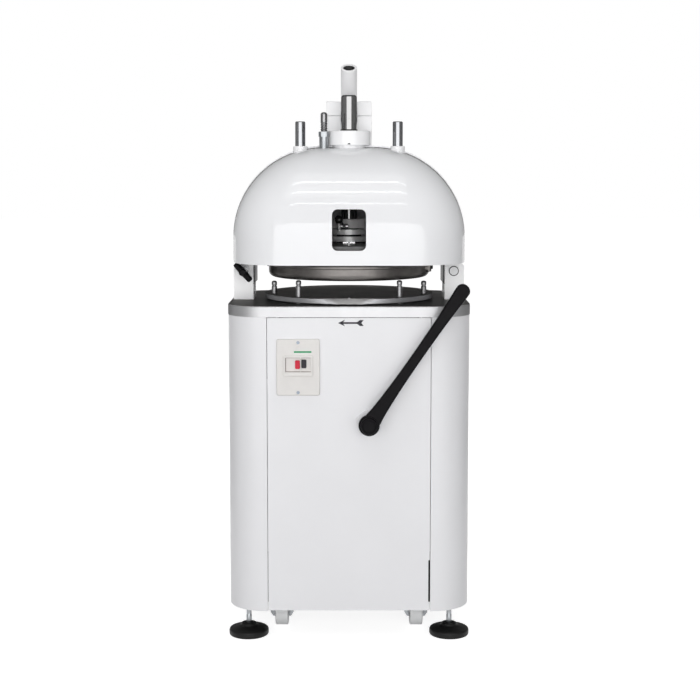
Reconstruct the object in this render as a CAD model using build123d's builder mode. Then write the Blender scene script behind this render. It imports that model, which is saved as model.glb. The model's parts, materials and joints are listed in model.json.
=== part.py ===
from build123d import *
from math import acos, cos, pi, radians, sin, sqrt, tan
import os

os.makedirs("parts", exist_ok=True)

# Sizes are in millimetres. +Z is up, the front faces -Y, the floor is Z = 0.

# Fits
fit_gap = 0.25
running_gap = 0.05
clear_gap = 1.5

# Cabinet
cabinet_width = 608.0
cabinet_depth = 478.0
cabinet_height = 742.0
cabinet_corner = 95.0
cabinet_bottom = 72.0
sheet = 2.0
panel_width = 407.0
seam_gap = 1.4
seam_return = 14.0
front_panel_lift = 2.5
service_notch_width = 3.5
service_notch_height = 107.0
service_notch_lift = 24.0
frame_tube = 30.0
base_lift = 20.0
base_thickness = 4.0
vent_count = 6
vent_length = 120.0
vent_width = 8.0
vent_pitch = 22.0
vent_base = 150.0

# Top plate
top_overhang = 1.0
top_thickness = 27.0
top_edge_round = 3.0

# Levelling feet
foot_inset = 50.0
foot_setback = 43.0
pad_radius = 50.0
pad_edge = 13.0
pad_crown = 8.0
pad_neck_radius = 19.0
pad_neck_height = 17.0
stem_radius = 7.0
stem_nut_radius = 13.0
stem_nut_height = 10.0
stem_tail = 34.0

# Castors
castor_inset = 131.0
castor_front_setback = 118.0
castor_rear_setback = 90.0
wheel_radius = 40.0
wheel_width = 33.0
front_wheel_lift = 2.0
axle_radius = 5.0
fork_wall = 4.0
fork_gap = 2.0
fork_leg_top = 56.0
fork_leg_foot = 24.0

# Switch on the front panel
switch_x = -125.5
switch_z = 690.5
switch_width = 107.0
switch_height = 140.0
switch_plate = 9.0
switch_round = 5.0
switch_body_width = 72.0
switch_body_height = 92.0
switch_body_depth = 26.0
bezel_width = 73.5
bezel_height = 51.0
bezel_rise = 5.0
bezel_shift = 4.5
recess_width = 63.5
recess_height = 36.0
recess_depth = 8.0
recess_shift = 2.5
button_width = 12.0
button_height = 21.0
button_proud = 4.0
stop_button_shift = -1.3
start_button_shift = 14.3
switch_screw_radius = 4.0
switch_screw_pitch = 124.0
switch_screw_rise = 1.4

# Rounding lever on the front panel
lever_x = 49.3
lever_z = 552.0
lever_length = 400.0
lever_lean = 34.5
lever_hub_radius = 26.0
lever_root_half = 18.5
lever_waist_half = 12.0
lever_neck_half = 13.5
lever_tip_radius = 18.0
lever_thickness = 18.0
lever_standoff = 32.0
lever_edge_round = 5.0
lever_cap_radius = 21.0
lever_cap_height = 8.0
spindle_radius = 12.5
spindle_tail = 70.0
spindle_arm_length = 60.0
spindle_arm_thickness = 12.0
bush_flange_radius = 32.0
bush_flange_thickness = 9.0
bush_radius = 20.0
bush_depth = 40.0

# Cable gland at the back
gland_reach = 22.0
gland_radius = 13.0
gland_x = -150.0
gland_z = 180.0

# The table and the head share one upright axis at the middle of the cabinet.
front_reach = lever_standoff + lever_thickness + lever_cap_height
axis_y = (front_reach - gland_reach) / 2

# Rounding table
table_gap = 3.0
table_radius = 219.0
table_thickness = 13.0
table_land = 29.0
table_recess = 1.2
table_foot_chamfer = 1.0
eccentricity = 7.0
scoop_top_half = 38.0
scoop_top_mouth_half = 69.0
scoop_top_depth = 16.0
scoop_foot_half = 24.5
scoop_foot_mouth_half = 43.6
scoop_foot_depth = 2.5
nib_radius = 3.0
nib_height = 2.0
nib_crown = 1.4
nib_setback = 5.0
pin_inset = 19.0
pin_radius = 7.0
outer_pin_height = 33.0
inner_pin_height = 42.0
pin_neck_radius = 5.6
pin_collar_radius = 9.0
pin_collar_height = 3.0
pin_outer_angle = 15.2
pin_inner_angle = 50.6

# Table drive
crank_flange_radius = 42.0
crank_flange_thickness = 14.0
crank_pin_radius = 12.5
crank_pin_length = 9.0
crank_radius = 17.5
crank_length = 190.0
bearing_outer = 31.0
bearing_height = 16.0
housing_radius = 44.0
housing_flange_radius = 78.0
housing_flange_thickness = 12.0
housing_length = 110.0
idler_circle = 120.0
idler_flange_radius = 22.0
idler_pin_radius = 8.0
idler_pin_length = 8.0
idler_journal_radius = 10.0
idler_boss_radius = 18.0
idler_boss_length = 40.0
pulley_radius = 92.0
pulley_width = 22.0
pulley_groove = 7.0
motor_pulley_radius = 36.0
belt_height = 12.0
motor_x = -150.0
motor_y = 70.0
motor_radius = 65.0
motor_length = 210.0
motor_shaft_radius = 9.5
motor_arm_thickness = 14.0

# Posts and hinge
post_inner = 247.5
post_width = 50.5
post_depth = 100.0
post_wall = 6.0
post_height = 96.0
post_foot = 12.0
post_web_drop = 45.0
post_corner_cut = 9.0
hinge_x = 271.0
hinge_height = 74.0
hinge_radius = 13.0
lug_inner = 242.5
lug_gap = 2.5
lug_drop = 38.0
lug_round = 8.0

# Clamp handle on the left post
clamp_radius = 7.0
clamp_bite = 16.0
clamp_slot_play = 4.0
clamp_collar_radius = 11.5
clamp_collar_length = 12.0
clamp_reach = 45.0
handle_radius = 6.0
handle_half = 30.0
handle_hub_radius = 9.5
handle_hub_length = 24.0
handle_lean = 48.0

# Head
ring_gap = 42.6
hood_lift = 40.4
beam_rise = 205.5
beam_height = 45.0
beam_half_depth = 43.6
shelf_half_width = 60.0
shelf_reach = 120.0
haunch_rise = 60.0
haunch_outer_lean = 18.0
haunch_inner_lean = 17.0
crown_outer_lean = 75.0
crown_inner_lean = 62.0

# Hood
hood_shoulder = 60.0
hood_radius = 238.0
hood_flat_x = 65.0
hood_flat_y = 20.0
hood_depth_radius = 209.0
hood_corner_base = 142.0
hood_corner_top = 18.0
hood_sections = 9
rear_wall = 4.5
front_wall = 4.0
shell_step = 6.5
shell_split = 1.6
window_width = 84.0
window_height = 102.0
window_lift = 36.5
window_round = 14.0

# Press column, collar and guide columns
rod_radius = 20.0
rod_rise = 129.5
rod_chamfer = 4.0
keyway_width = 12.0
keyway_depth = 4.0
keyway_rise = 32.0
keyway_tail = 20.0
collar_radius = 55.0
collar_height = 37.0
collar_neck_radius = 41.0
collar_shoulder = 5.0
collar_crown_gap = 2.8
collar_spigot_radius = 34.0
wiper_radius = 22.2
wiper_height = 4.0
column_x = 126.5
column_radius = 13.0
column_rise = 62.0
guide_drop = 1.5
guide_neck_radius = 18.5
guide_chamfer = 1.5
guide_spigot_radius = 18.0
stop_x = -64.5
stop_y = -30.0
stop_radius = 9.0
stop_rise = 85.0
stop_sleeve_radius = 12.0
stop_sleeve_rise = 22.0
stop_hex_flat = 24.0
stop_hex_height = 13.0

# Press lever
module = 4.0
gear_teeth = 32
gear_first = -1
gear_last = 4
pressure_angle = 20.0
backlash = 0.6
rack_line = 16.0
gear_half_width = 16.0
pivot_rise = 79.0
lever_elevation = 58.0
socket_offset = 18.0
socket_radius = 21.0
socket_bore = 15.0
socket_root = 40.0
socket_spigot = 30.0
socket_spigot_radius = 12.0
socket_length = 134.0
journal_radius = 14.0
hub_radius = 24.0
cheek_inner = 24.0
cheek_outer = 59.5
cheek_front = 24.0
cheek_back = 32.0
cap_height = 37.0
cap_seam = 0.6
cap_round = 4.0
saddle_height = 50.0

# Press ring, segments and knives
ring_radius = 209.5
ring_inner = 193.0
ring_round = 15.0
ring_collar_lift = 33.5
ring_collar_step = 2.0
ring_groove = 1.4
ring_height = 76.4
ear_reach = 222.0
ear_width = 32.0
ear_height = 14.0
ear_lift = 21.0
ear_angle = -17.0
ear_root = 6.0
ear_bolt_inset = 5.5
ear_bolt_radius = 5.0
ear_bolt_height = 6.0
carriage_thickness = 10.0
hub_foot_radius = 34.0
hub_foot_height = 4.0
hub_flange_radius = 50.0
hub_flange_height = 13.0
hub_waist_radius = 32.0
hub_waist_height = 5.0
hub_ring_radius = 44.0
hub_ring_height = 13.0
hub_neck_radius = 26.5
hub_neck_height = 3.0
hub_head_radius = 29.0
hub_head_height = 24.0
chamber_depth = 22.4
segment_thickness = 10.0
stem_rod_radius = 5.0
blade = 1.6
blade_gap = 0.5
inner_cells = 5
middle_cells = 10
outer_cells = 15
inner_cell_edge = 78.4
middle_cell_edge = 135.8
inner_stem_circle = 48.0
knife_travel = 20.0
knife_plate_thickness = 8.0
knife_plate_gap = 6.0
knife_proud = 1.0
lift_rod_radius = 6.0
lift_rod_circle = 92.0
lift_head_radius = 10.0
lift_head_height = 6.0
catch_x = -12.0
catch_y = -37.0
catch_rise = 9.0
catch_pin_radius = 3.0
catch_barrel_radius = 6.0
catch_barrel_half = 9.0
catch_rod_radius = 3.5
catch_bend = 16.0
catch_bend_radius = 12.0
catch_knob_x = -26.0
catch_knob_y = -95.0
catch_knob_rise = 19.0
catch_knob_radius = 10.5

# Heights and places that follow from the sizes above
foot_x = cabinet_width / 2 - foot_inset
castor_x = cabinet_width / 2 - castor_inset
lug_outer = hood_flat_x + hood_radius - shell_step - front_wall - lug_gap
cabinet_top = cabinet_bottom + cabinet_height
cabinet_front = -cabinet_depth / 2
cabinet_back = cabinet_depth / 2
base_z = cabinet_bottom + base_lift
frame_bottom = base_z + base_thickness
plate_top = cabinet_top + top_thickness
table_bottom = plate_top + table_gap
table_top = table_bottom + table_thickness
hinge_z = plate_top + hinge_height
ring_bottom = table_top + ring_gap
hood_bottom = ring_bottom + hood_lift
shoulder_z = hood_bottom + hood_shoulder
hood_top = shoulder_z + hood_radius
front_top = hood_top - shell_step
beam_bottom = ring_bottom + beam_rise
beam_top = beam_bottom + beam_height
neck_bottom = front_top - front_wall - collar_crown_gap
neck_top = hood_top + fit_gap
collar_top = neck_top + collar_height
rod_top = hood_top + rod_rise
pivot_z = hood_top + pivot_rise
pitch_radius = module * gear_teeth / 2
pivot_y = rack_line + pitch_radius
ring_top = ring_bottom + ring_height
carriage_top = ring_top + carriage_thickness
segment_bottom = ring_bottom + chamber_depth
segment_top = segment_bottom + segment_thickness
knife_bottom = segment_bottom - knife_proud
knife_plate_bottom = segment_top + knife_travel + knife_plate_gap
knife_plate_top = knife_plate_bottom + knife_plate_thickness
lift_head_bottom = carriage_top + knife_travel + clear_gap
hub_flange_z = carriage_top + hub_foot_height
hub_waist_z = hub_flange_z + hub_flange_height
hub_ring_z = hub_waist_z + hub_waist_height
hub_neck_z = hub_ring_z + hub_ring_height
hub_head_z = hub_neck_z + hub_neck_height
hub_top = hub_head_z + hub_head_height
switch_face = cabinet_front - switch_plate - bezel_rise

UPWARD = (Align.CENTER, Align.CENTER, Align.MIN)
DOWNWARD = (Align.CENTER, Align.CENTER, Align.MAX)
ALONG_X = (0, 90, 0)
ALONG_Y = (90, 0, 0)


def level(z, x=0.0, y=0.0):
    """Horizontal plane at a height, centred on the upright axis or beside it."""
    return Plane(origin=(x, axis_y + y, z))


def upright(y=0.0, x=0.0):
    """Vertical plane that faces the front, with X across and Z up."""
    return Plane(origin=(x, axis_y + y, 0), x_dir=(1, 0, 0), z_dir=(0, -1, 0))


def spin_axis(x=0.0, y=0.0):
    """Vertical axis of a turned piece."""
    return Axis((x, axis_y + y, 0), (0, 0, 1))


def place(x, y, z):
    """Point given from the upright axis."""
    return (x, axis_y + y, z)


def save(piece, name):
    """Label one finished piece and write it."""
    piece.part.label = name
    export_step(piece.part, f"parts/{name}.step")


# Cabinet frame: base plate, four uprights and a top rail
upright_x = panel_width / 2 - seam_return
upright_y = cabinet_depth / 2 - seam_return - frame_tube
with BuildPart() as cabinet_frame:
    with BuildSketch(level(base_z)):
        RectangleRounded(
            cabinet_width - 2 * (sheet + fit_gap),
            cabinet_depth - 2 * (sheet + fit_gap),
            cabinet_corner - sheet - fit_gap,
        )
        for side in (-1, 1):
            with Locations((side * foot_x, cabinet_front + foot_setback)):
                Circle(stem_radius + running_gap, mode=Mode.SUBTRACT)
        with Locations((0, 0)):
            RectangleRounded(2 * pulley_radius, 2 * pulley_radius, frame_tube, mode=Mode.SUBTRACT)
            for side in (-1, 1):
                for end in (cabinet_front, cabinet_back):
                    with Locations((side * (panel_width / 2 + sheet / 2), end)):
                        Rectangle(sheet + 2 * clear_gap, 2 * seam_return + 2 * clear_gap, mode=Mode.SUBTRACT)
                        Rectangle(4 * sheet + 2 * clear_gap, 2 * seam_return + 2 * clear_gap, mode=Mode.SUBTRACT)
    extrude(amount=base_thickness)
    with BuildSketch(level(base_z)):
        with GridLocations(2 * upright_x - 2 * frame_tube, 2 * upright_y, 2, 2):
            Rectangle(frame_tube, frame_tube)
    extrude(amount=cabinet_top - fit_gap - base_z)
    with BuildSketch(level(cabinet_top - fit_gap)):
        Rectangle(2 * upright_x - frame_tube, 2 * upright_y + frame_tube)
        Rectangle(2 * upright_x - 3 * frame_tube, 2 * upright_y - frame_tube, mode=Mode.SUBTRACT)
    extrude(amount=-frame_tube)
save(cabinet_frame, "cabinet_frame")

# Side panels, wrapped round the corners, with a return at each seam
for side, name in ((-1, "left_side_panel"), (1, "right_side_panel")):
    with BuildPart() as side_panel:
        with BuildSketch(level(cabinet_bottom)):
            RectangleRounded(cabinet_width, cabinet_depth, cabinet_corner)
            RectangleRounded(
                cabinet_width - 2 * sheet,
                cabinet_depth - 2 * sheet,
                cabinet_corner - sheet,
                mode=Mode.SUBTRACT,
            )
            Rectangle(panel_width, 2 * cabinet_depth, mode=Mode.SUBTRACT)
            with Locations((-side * cabinet_width / 2, 0)):
                Rectangle(cabinet_width, 2 * cabinet_depth, mode=Mode.SUBTRACT)
            for end in (-1, 1):
                with Locations((side * (panel_width / 2 + sheet / 2), end * (cabinet_back - seam_return / 2))):
                    Rectangle(sheet, seam_return)
        extrude(amount=cabinet_height - fit_gap)
    save(side_panel, name)

# Front panel with folded edges, a lever hole, a switch opening and a notch low on the right
front_width = panel_width - 2 * seam_gap
with BuildPart() as front_panel:
    with BuildSketch(upright(cabinet_front)):
        with Locations((0, (cabinet_bottom + front_panel_lift + cabinet_top - seam_gap) / 2)):
            Rectangle(front_width, cabinet_height - front_panel_lift - seam_gap)
        with Locations((lever_x, lever_z)):
            Circle(bush_radius + fit_gap, mode=Mode.SUBTRACT)
        with Locations((switch_x, switch_z)):
            Rectangle(
                switch_body_width + 2 * fit_gap,
                switch_body_height + 2 * fit_gap,
                mode=Mode.SUBTRACT,
            )
        with Locations((front_width / 2, cabinet_bottom + service_notch_lift + service_notch_height / 2)):
            Rectangle(2 * service_notch_width, service_notch_height, mode=Mode.SUBTRACT)
    extrude(amount=-sheet)
    with BuildSketch(level(cabinet_top - seam_gap)):
        for side in (-1, 1):
            with Locations((side * (front_width - sheet) / 2, cabinet_front + seam_return / 2)):
                Rectangle(sheet, seam_return)
    extrude(amount=-(cabinet_height - seam_gap - service_notch_lift - service_notch_height))
save(front_panel, "front_panel")

# Rear panel with vents and a hole for the gland
with BuildPart() as rear_panel:
    with BuildSketch(upright(cabinet_back)):
        with Locations((0, (cabinet_bottom + cabinet_top) / 2)):
            Rectangle(front_width, cabinet_height - 2 * seam_gap)
        with Locations((gland_x, gland_z)):
            Circle(gland_radius - 2 * sheet + fit_gap, mode=Mode.SUBTRACT)
        for row in range(vent_count):
            with Locations((0, cabinet_bottom + vent_base + row * vent_pitch)):
                SlotOverall(vent_length, vent_width, mode=Mode.SUBTRACT)
    extrude(amount=sheet)
save(rear_panel, "rear_panel")

# Cable gland: a threaded body, a flange and a domed nut with a bore
with BuildPart() as cable_gland:
    with Locations(Plane(origin=place(gland_x, cabinet_back, gland_z), z_dir=(0, 1, 0))):
        Cylinder(gland_radius, gland_reach, align=UPWARD)
    fillet(cable_gland.edges().sort_by(Axis.Y)[-1], gland_radius / 4)
    with Locations(Plane(origin=place(gland_x, cabinet_back, gland_z), z_dir=(0, -1, 0))):
        Cylinder(gland_radius - 2 * sheet, 5 * sheet, align=UPWARD)
    with Locations(Plane(origin=place(gland_x, cabinet_back, gland_z), z_dir=(0, 1, 0))):
        Cylinder(gland_radius / 3, 4 * gland_reach, mode=Mode.SUBTRACT)
save(cable_gland, "cable_gland")

# Places of the rim pins, measured from +X towards the front on both sides
pin_circle = table_radius - pin_inset
pin_places = []
for pin_angle, pin_height in ((pin_outer_angle, outer_pin_height), (pin_inner_angle, inner_pin_height)):
    pin_x = pin_circle * cos(radians(pin_angle))
    pin_y = -pin_circle * sin(radians(pin_angle))
    pin_places.append((pin_x, pin_y, table_top + pin_height))
    pin_places.append((-pin_x, pin_y, table_top + pin_height))

# Top plate with a crank hole, two idler bosses and clearance round the orbiting pins
plate_width = cabinet_width + 2 * top_overhang
plate_depth = cabinet_depth + 2 * top_overhang
pin_orbit = pin_collar_radius + eccentricity + clear_gap
idler_pocket = crank_flange_thickness + 3 * fit_gap - table_gap
with BuildPart() as top_plate:
    with BuildSketch(level(cabinet_top)):
        RectangleRounded(plate_width, plate_depth, cabinet_corner + top_overhang)
    extrude(amount=top_thickness)
    fillet(top_plate.faces().sort_by(Axis.Z)[-1].edges(), top_edge_round)
    with Locations(place(-idler_circle, eccentricity, cabinet_top), place(idler_circle, eccentricity, cabinet_top)):
        Cylinder(idler_boss_radius, idler_boss_length, align=DOWNWARD)
    with Locations(place(0, eccentricity, cabinet_top)):
        Cylinder(crank_flange_radius + clear_gap, top_thickness, align=UPWARD, mode=Mode.SUBTRACT)
    with Locations(place(-idler_circle, eccentricity, plate_top), place(idler_circle, eccentricity, plate_top)):
        Cylinder(idler_flange_radius + clear_gap, idler_pocket, align=DOWNWARD, mode=Mode.SUBTRACT)
        Cylinder(idler_journal_radius + running_gap, 4 * idler_boss_length, align=DOWNWARD, mode=Mode.SUBTRACT)
    with BuildSketch(level(cabinet_top)):
        for pin_x, pin_y, pin_top in pin_places:
            with Locations((pin_x, pin_y + eccentricity)):
                Circle(pin_orbit)
    extrude(amount=top_thickness, mode=Mode.SUBTRACT)
save(top_plate, "top_plate")

# Levelling feet: a black pad with a neck, and a threaded stem with a nut
pad_top = pad_edge + pad_crown + pad_neck_height
stem_top = frame_bottom + stem_tail
foot_y = cabinet_front + foot_setback
for side, name in ((-1, "left_foot"), (1, "right_foot")):
    with BuildPart() as foot_pad:
        with BuildSketch(upright(foot_y, side * foot_x)):
            Polygon(
                (0, 0),
                (pad_radius - 2, 0),
                (pad_radius, 2),
                (pad_radius, pad_edge - 2),
                (pad_radius - 2, pad_edge),
                (pad_neck_radius + 2, pad_edge + pad_crown),
                (pad_neck_radius, pad_top - 2),
                (pad_neck_radius - 2, pad_top),
                (stem_radius + fit_gap, pad_top),
                (stem_radius + fit_gap, pad_edge),
                (0, pad_edge),
                align=None,
            )
        revolve(axis=spin_axis(side * foot_x, foot_y))
    save(foot_pad, f"{name}_pad")
    with BuildPart() as foot_stem:
        with Locations(place(side * foot_x, foot_y, pad_edge + fit_gap)):
            Cylinder(stem_radius, stem_top - pad_edge - fit_gap, align=UPWARD)
        chamfer(foot_stem.edges().sort_by(Axis.Z)[-1], 1)
        with BuildSketch(level(pad_top + fit_gap, side * foot_x, foot_y)):
            RegularPolygon(stem_nut_radius, 6)
        extrude(amount=stem_nut_height)
    save(foot_stem, f"{name}_stem")

# Castor forks with their axles, and the four wheels
front_axle_z = wheel_radius + front_wheel_lift
rear_axle_z = wheel_radius
front_castor_y = cabinet_front + castor_front_setback
rear_castor_y = cabinet_back - castor_rear_setback
castors = (
    ("front_left_wheel", -castor_x, front_castor_y, front_axle_z),
    ("front_right_wheel", castor_x, front_castor_y, front_axle_z),
    ("rear_left_wheel", -castor_x, rear_castor_y, rear_axle_z),
    ("rear_right_wheel", castor_x, rear_castor_y, rear_axle_z),
)
leg_inner = wheel_width / 2 + fork_gap
fork_top = base_z - fit_gap
with BuildPart() as castor_forks:
    for name, wheel_x, wheel_y, axle_z in castors:
        for side in (-1, 1):
            leg_x = wheel_x + side * (leg_inner + fork_wall / 2) - fork_wall / 2
            with BuildSketch(Plane(origin=place(leg_x, wheel_y, 0), x_dir=(0, 1, 0), z_dir=(1, 0, 0))):
                Polygon(
                    (-fork_leg_foot / 2, axle_z),
                    (fork_leg_foot / 2, axle_z),
                    (fork_leg_top / 2, fork_top),
                    (-fork_leg_top / 2, fork_top),
                    align=None,
                )
                with Locations((0, axle_z)):
                    Circle(fork_leg_foot / 2)
            extrude(amount=fork_wall)
        with Locations(place(wheel_x, wheel_y, fork_top)):
            Box(2 * (leg_inner + fork_wall), fork_leg_top, fork_wall, align=DOWNWARD)
        with Locations(place(wheel_x, wheel_y, axle_z)):
            Cylinder(axle_radius, 2 * (leg_inner + fork_wall) + 4, rotation=ALONG_X)
save(castor_forks, "castor_forks")

for name, wheel_x, wheel_y, axle_z in castors:
    with BuildPart() as wheel:
        with Locations(place(wheel_x, wheel_y, axle_z)):
            Cylinder(wheel_radius, wheel_width, rotation=ALONG_X)
        fillet(wheel.edges(), 4)
        with Locations(place(wheel_x, wheel_y, axle_z)):
            Cylinder(axle_radius + running_gap, 2 * wheel_width, rotation=ALONG_X, mode=Mode.SUBTRACT)
        for side in (-1, 1):
            face_x = wheel_x + side * wheel_width / 2
            with BuildSketch(Plane(origin=place(face_x, wheel_y, axle_z), x_dir=(0, 1, 0), z_dir=(-side, 0, 0))):
                Circle(wheel_radius - 9)
                Circle(axle_radius + 8, mode=Mode.SUBTRACT)
            extrude(amount=6, mode=Mode.SUBTRACT)
    save(wheel, name)

# Switch housing: plate, raised bezel, a recess with two button holes, and a hollow body behind
bezel_z = switch_z + bezel_shift
recess_z = bezel_z + recess_shift
recess_floor = switch_face + recess_depth
floor_back = recess_floor + sheet
stop_x_place = switch_x + stop_button_shift
start_x_place = switch_x + start_button_shift
start_lift = 2.0
screw_places = (
    (switch_x, switch_z - switch_screw_pitch / 2),
    (switch_x, switch_z + switch_screw_pitch / 2),
)
with BuildPart() as switch_housing:
    with BuildSketch(upright(cabinet_front - fit_gap)):
        with Locations((switch_x, switch_z)):
            RectangleRounded(switch_width, switch_height, switch_round)
    extrude(amount=switch_plate - fit_gap)
    fillet(switch_housing.faces().sort_by(Axis.Y)[0].edges(), 3)
    with BuildSketch(upright(cabinet_front - switch_plate)):
        with Locations((switch_x, bezel_z)):
            RectangleRounded(bezel_width, bezel_height, 4)
    extrude(amount=bezel_rise)
    chamfer(switch_housing.faces().sort_by(Axis.Y)[0].edges(), 1.2)
    with BuildSketch(upright(cabinet_front - fit_gap)):
        with Locations((switch_x, switch_z)):
            RectangleRounded(switch_body_width, switch_body_height, 3)
    extrude(amount=-switch_body_depth)
    with BuildSketch(upright(switch_face)):
        with Locations((switch_x, recess_z)):
            RectangleRounded(recess_width, recess_height, 2)
    extrude(amount=-recess_depth, mode=Mode.SUBTRACT)
    with BuildSketch(upright(recess_floor)):
        with Locations((stop_x_place, recess_z)):
            RectangleRounded(button_width + 2 * fit_gap, button_height + 2 * fit_gap, 3)
        with Locations((start_x_place, recess_z + start_lift)):
            RectangleRounded(button_width + 2 * fit_gap, button_height + 2 * fit_gap, 3)
    extrude(amount=-2 * sheet, mode=Mode.SUBTRACT)
    with BuildSketch(upright(floor_back)):
        with Locations((switch_x, switch_z + sheet)):
            RectangleRounded(switch_body_width - 2 * sheet, switch_body_height - 4 * sheet, 2)
    extrude(amount=-(switch_body_depth - 2 * sheet), mode=Mode.SUBTRACT)
    with BuildSketch(upright(cabinet_front - switch_plate)):
        for screw_x, screw_z in screw_places:
            with Locations((screw_x, screw_z)):
                Circle(switch_screw_radius / 2 + fit_gap)
    extrude(amount=-switch_plate, mode=Mode.SUBTRACT)
save(switch_housing, "switch_housing")

for name, button_x, button_z in (
    ("stop_button", stop_x_place, recess_z),
    ("start_button", start_x_place, recess_z + start_lift),
):
    with BuildPart() as button:
        with BuildSketch(upright(recess_floor - button_proud)):
            with Locations((button_x, button_z)):
                RectangleRounded(button_width, button_height, 2.75)
        extrude(amount=-(button_proud + sheet + fit_gap + 1))
        fillet(button.faces().sort_by(Axis.Y)[0].edges(), 1)
        with BuildSketch(upright(floor_back + fit_gap)):
            with Locations((button_x, button_z)):
                RectangleRounded(button_width + 2, button_height + 3, 2.75)
        extrude(amount=-2 * sheet)
    save(button, name)

with BuildPart() as switch_screws:
    for screw_x, screw_z in screw_places:
        with Locations(
            Plane(origin=place(screw_x, cabinet_front - switch_plate - fit_gap, screw_z), z_dir=(0, -1, 0))
        ):
            Cylinder(switch_screw_radius, switch_screw_rise, align=UPWARD)
            Cylinder(switch_screw_radius / 2, switch_plate - 2, align=DOWNWARD)
            with Locations((0, 0, switch_screw_rise)):
                Box(1.1, 2 * switch_screw_radius - 2, 1, mode=Mode.SUBTRACT)
save(switch_screws, "switch_screws")

# Rounding lever: a flat black arm with a round hub and a round end
lever_back = cabinet_front - lever_standoff
lever_direction = (sin(radians(lever_lean)), 0, cos(radians(lever_lean)))
with BuildPart() as rounding_lever:
    with BuildSketch(Plane(origin=place(lever_x, lever_back, lever_z), x_dir=lever_direction, z_dir=(0, -1, 0))):
        with BuildLine():
            upper_edge = Spline(
                (0, lever_hub_radius - 1),
                (45, lever_root_half),
                (lever_length * 0.3, lever_waist_half + 2),
                (lever_length * 0.5, lever_waist_half),
                (lever_length * 0.82, lever_neck_half),
                (lever_length, lever_tip_radius - 1),
            )
            mirror(upper_edge, about=Plane.XZ)
            Line((0, lever_hub_radius - 1), (0, 1 - lever_hub_radius))
            Line((lever_length, lever_tip_radius - 1), (lever_length, 1 - lever_tip_radius))
        make_face()
        Circle(lever_hub_radius)
        with Locations((lever_length, 0)):
            Circle(lever_tip_radius)
    extrude(amount=lever_thickness)
    chamfer(rounding_lever.faces().sort_by(Axis.Y)[0].edges(), lever_edge_round / 2)
    with BuildSketch(upright(lever_back)):
        with Locations((lever_x, lever_z)):
            Circle(spindle_radius + fit_gap)
    extrude(amount=lever_thickness, mode=Mode.SUBTRACT)
save(rounding_lever, "rounding_lever")

lever_front = lever_back - lever_thickness
with BuildPart() as lever_cap:
    with BuildSketch(upright(lever_front - fit_gap)):
        with Locations((lever_x, lever_z)):
            Circle(lever_cap_radius)
    extrude(amount=lever_cap_height - fit_gap)
    fillet(lever_cap.faces().sort_by(Axis.Y)[0].edges(), lever_cap_height / 2)
save(lever_cap, "lever_cap")

# Spindle with an inner arm, and the flanged bush that carries it
spindle_end = cabinet_front + spindle_tail
with BuildPart() as lever_spindle:
    with BuildSketch(upright(lever_front + fit_gap)):
        with Locations((lever_x, lever_z)):
            Circle(spindle_radius)
    extrude(amount=-(spindle_end - lever_front - fit_gap))
    with BuildSketch(upright(spindle_end)):
        with Locations((lever_x, lever_z - spindle_arm_length / 2)):
            SlotOverall(spindle_arm_length + 2 * spindle_radius + 16, 2 * spindle_radius + 12, rotation=90)
    extrude(amount=spindle_arm_thickness)
save(lever_spindle, "lever_spindle")

with BuildPart() as lever_bush:
    with BuildSketch(upright(cabinet_front - fit_gap)):
        with Locations((lever_x, lever_z)):
            Circle(bush_flange_radius)
    extrude(amount=bush_flange_thickness)
    fillet(lever_bush.faces().sort_by(Axis.Y)[0].edges(), 2)
    with BuildSketch(upright(cabinet_front - fit_gap)):
        with Locations((lever_x, lever_z)):
            Circle(bush_radius)
    extrude(amount=-bush_depth)
    with BuildSketch(upright(cabinet_front - 2 * bush_flange_thickness)):
        with Locations((lever_x, lever_z)):
            Circle(spindle_radius + running_gap)
    extrude(amount=-3 * bush_depth, mode=Mode.SUBTRACT)
save(lever_bush, "lever_bush")

# Drive bracket: bearing housing under the top plate, with a drop arm and a plate for the motor
drive_top = cabinet_top - fit_gap
housing_bottom = drive_top - housing_length
crank_flange_top = table_bottom - fit_gap
crank_flange_bottom = crank_flange_top - crank_flange_thickness
crank_bottom = crank_flange_bottom - crank_length
pulley_bottom = crank_bottom + 2
pulley_top = pulley_bottom + pulley_width
motor_run = sqrt(motor_x ** 2 + (motor_y - eccentricity) ** 2)
motor_direction = (motor_x / motor_run, (motor_y - eccentricity) / motor_run, 0)
motor_plate_top = pulley_bottom - 12
motor_top = motor_plate_top - motor_arm_thickness - fit_gap
leg_start = motor_run + motor_pulley_radius + 14
leg_length = 22.0


def drive_plane(z):
    """Horizontal plane on the crank axis with local X pointing at the motor."""
    return Plane(origin=place(0, eccentricity, z), x_dir=motor_direction, z_dir=(0, 0, 1))


with BuildPart() as drive_bracket:
    with Locations(place(0, eccentricity, drive_top)):
        Cylinder(housing_flange_radius, housing_flange_thickness, align=DOWNWARD)
        Cylinder(housing_radius, housing_length, align=DOWNWARD)
    with BuildSketch(drive_plane(housing_bottom)):
        with Locations(((leg_start + leg_length) / 2, 0)):
            Rectangle(leg_start + leg_length, 70)
    extrude(amount=motor_arm_thickness)
    with BuildSketch(drive_plane(motor_plate_top - motor_arm_thickness)):
        with Locations((leg_start + leg_length / 2, 0)):
            Rectangle(leg_length, 70)
    extrude(amount=housing_bottom + motor_arm_thickness - motor_plate_top + motor_arm_thickness)
    with BuildSketch(drive_plane(motor_plate_top)):
        with Locations((motor_run, 0)):
            Circle(motor_radius - 5)
        with Locations(((motor_run + leg_start + leg_length) / 2, 0)):
            Rectangle(leg_start + leg_length - motor_run, 70)
        with Locations((motor_run, 0)):
            Circle(motor_shaft_radius + clear_gap, mode=Mode.SUBTRACT)
    extrude(amount=-motor_arm_thickness)
    with Locations(place(0, eccentricity, drive_top)):
        Cylinder(bearing_outer + fit_gap, 2 * housing_length, align=DOWNWARD, mode=Mode.SUBTRACT)
save(drive_bracket, "drive_bracket")

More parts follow.
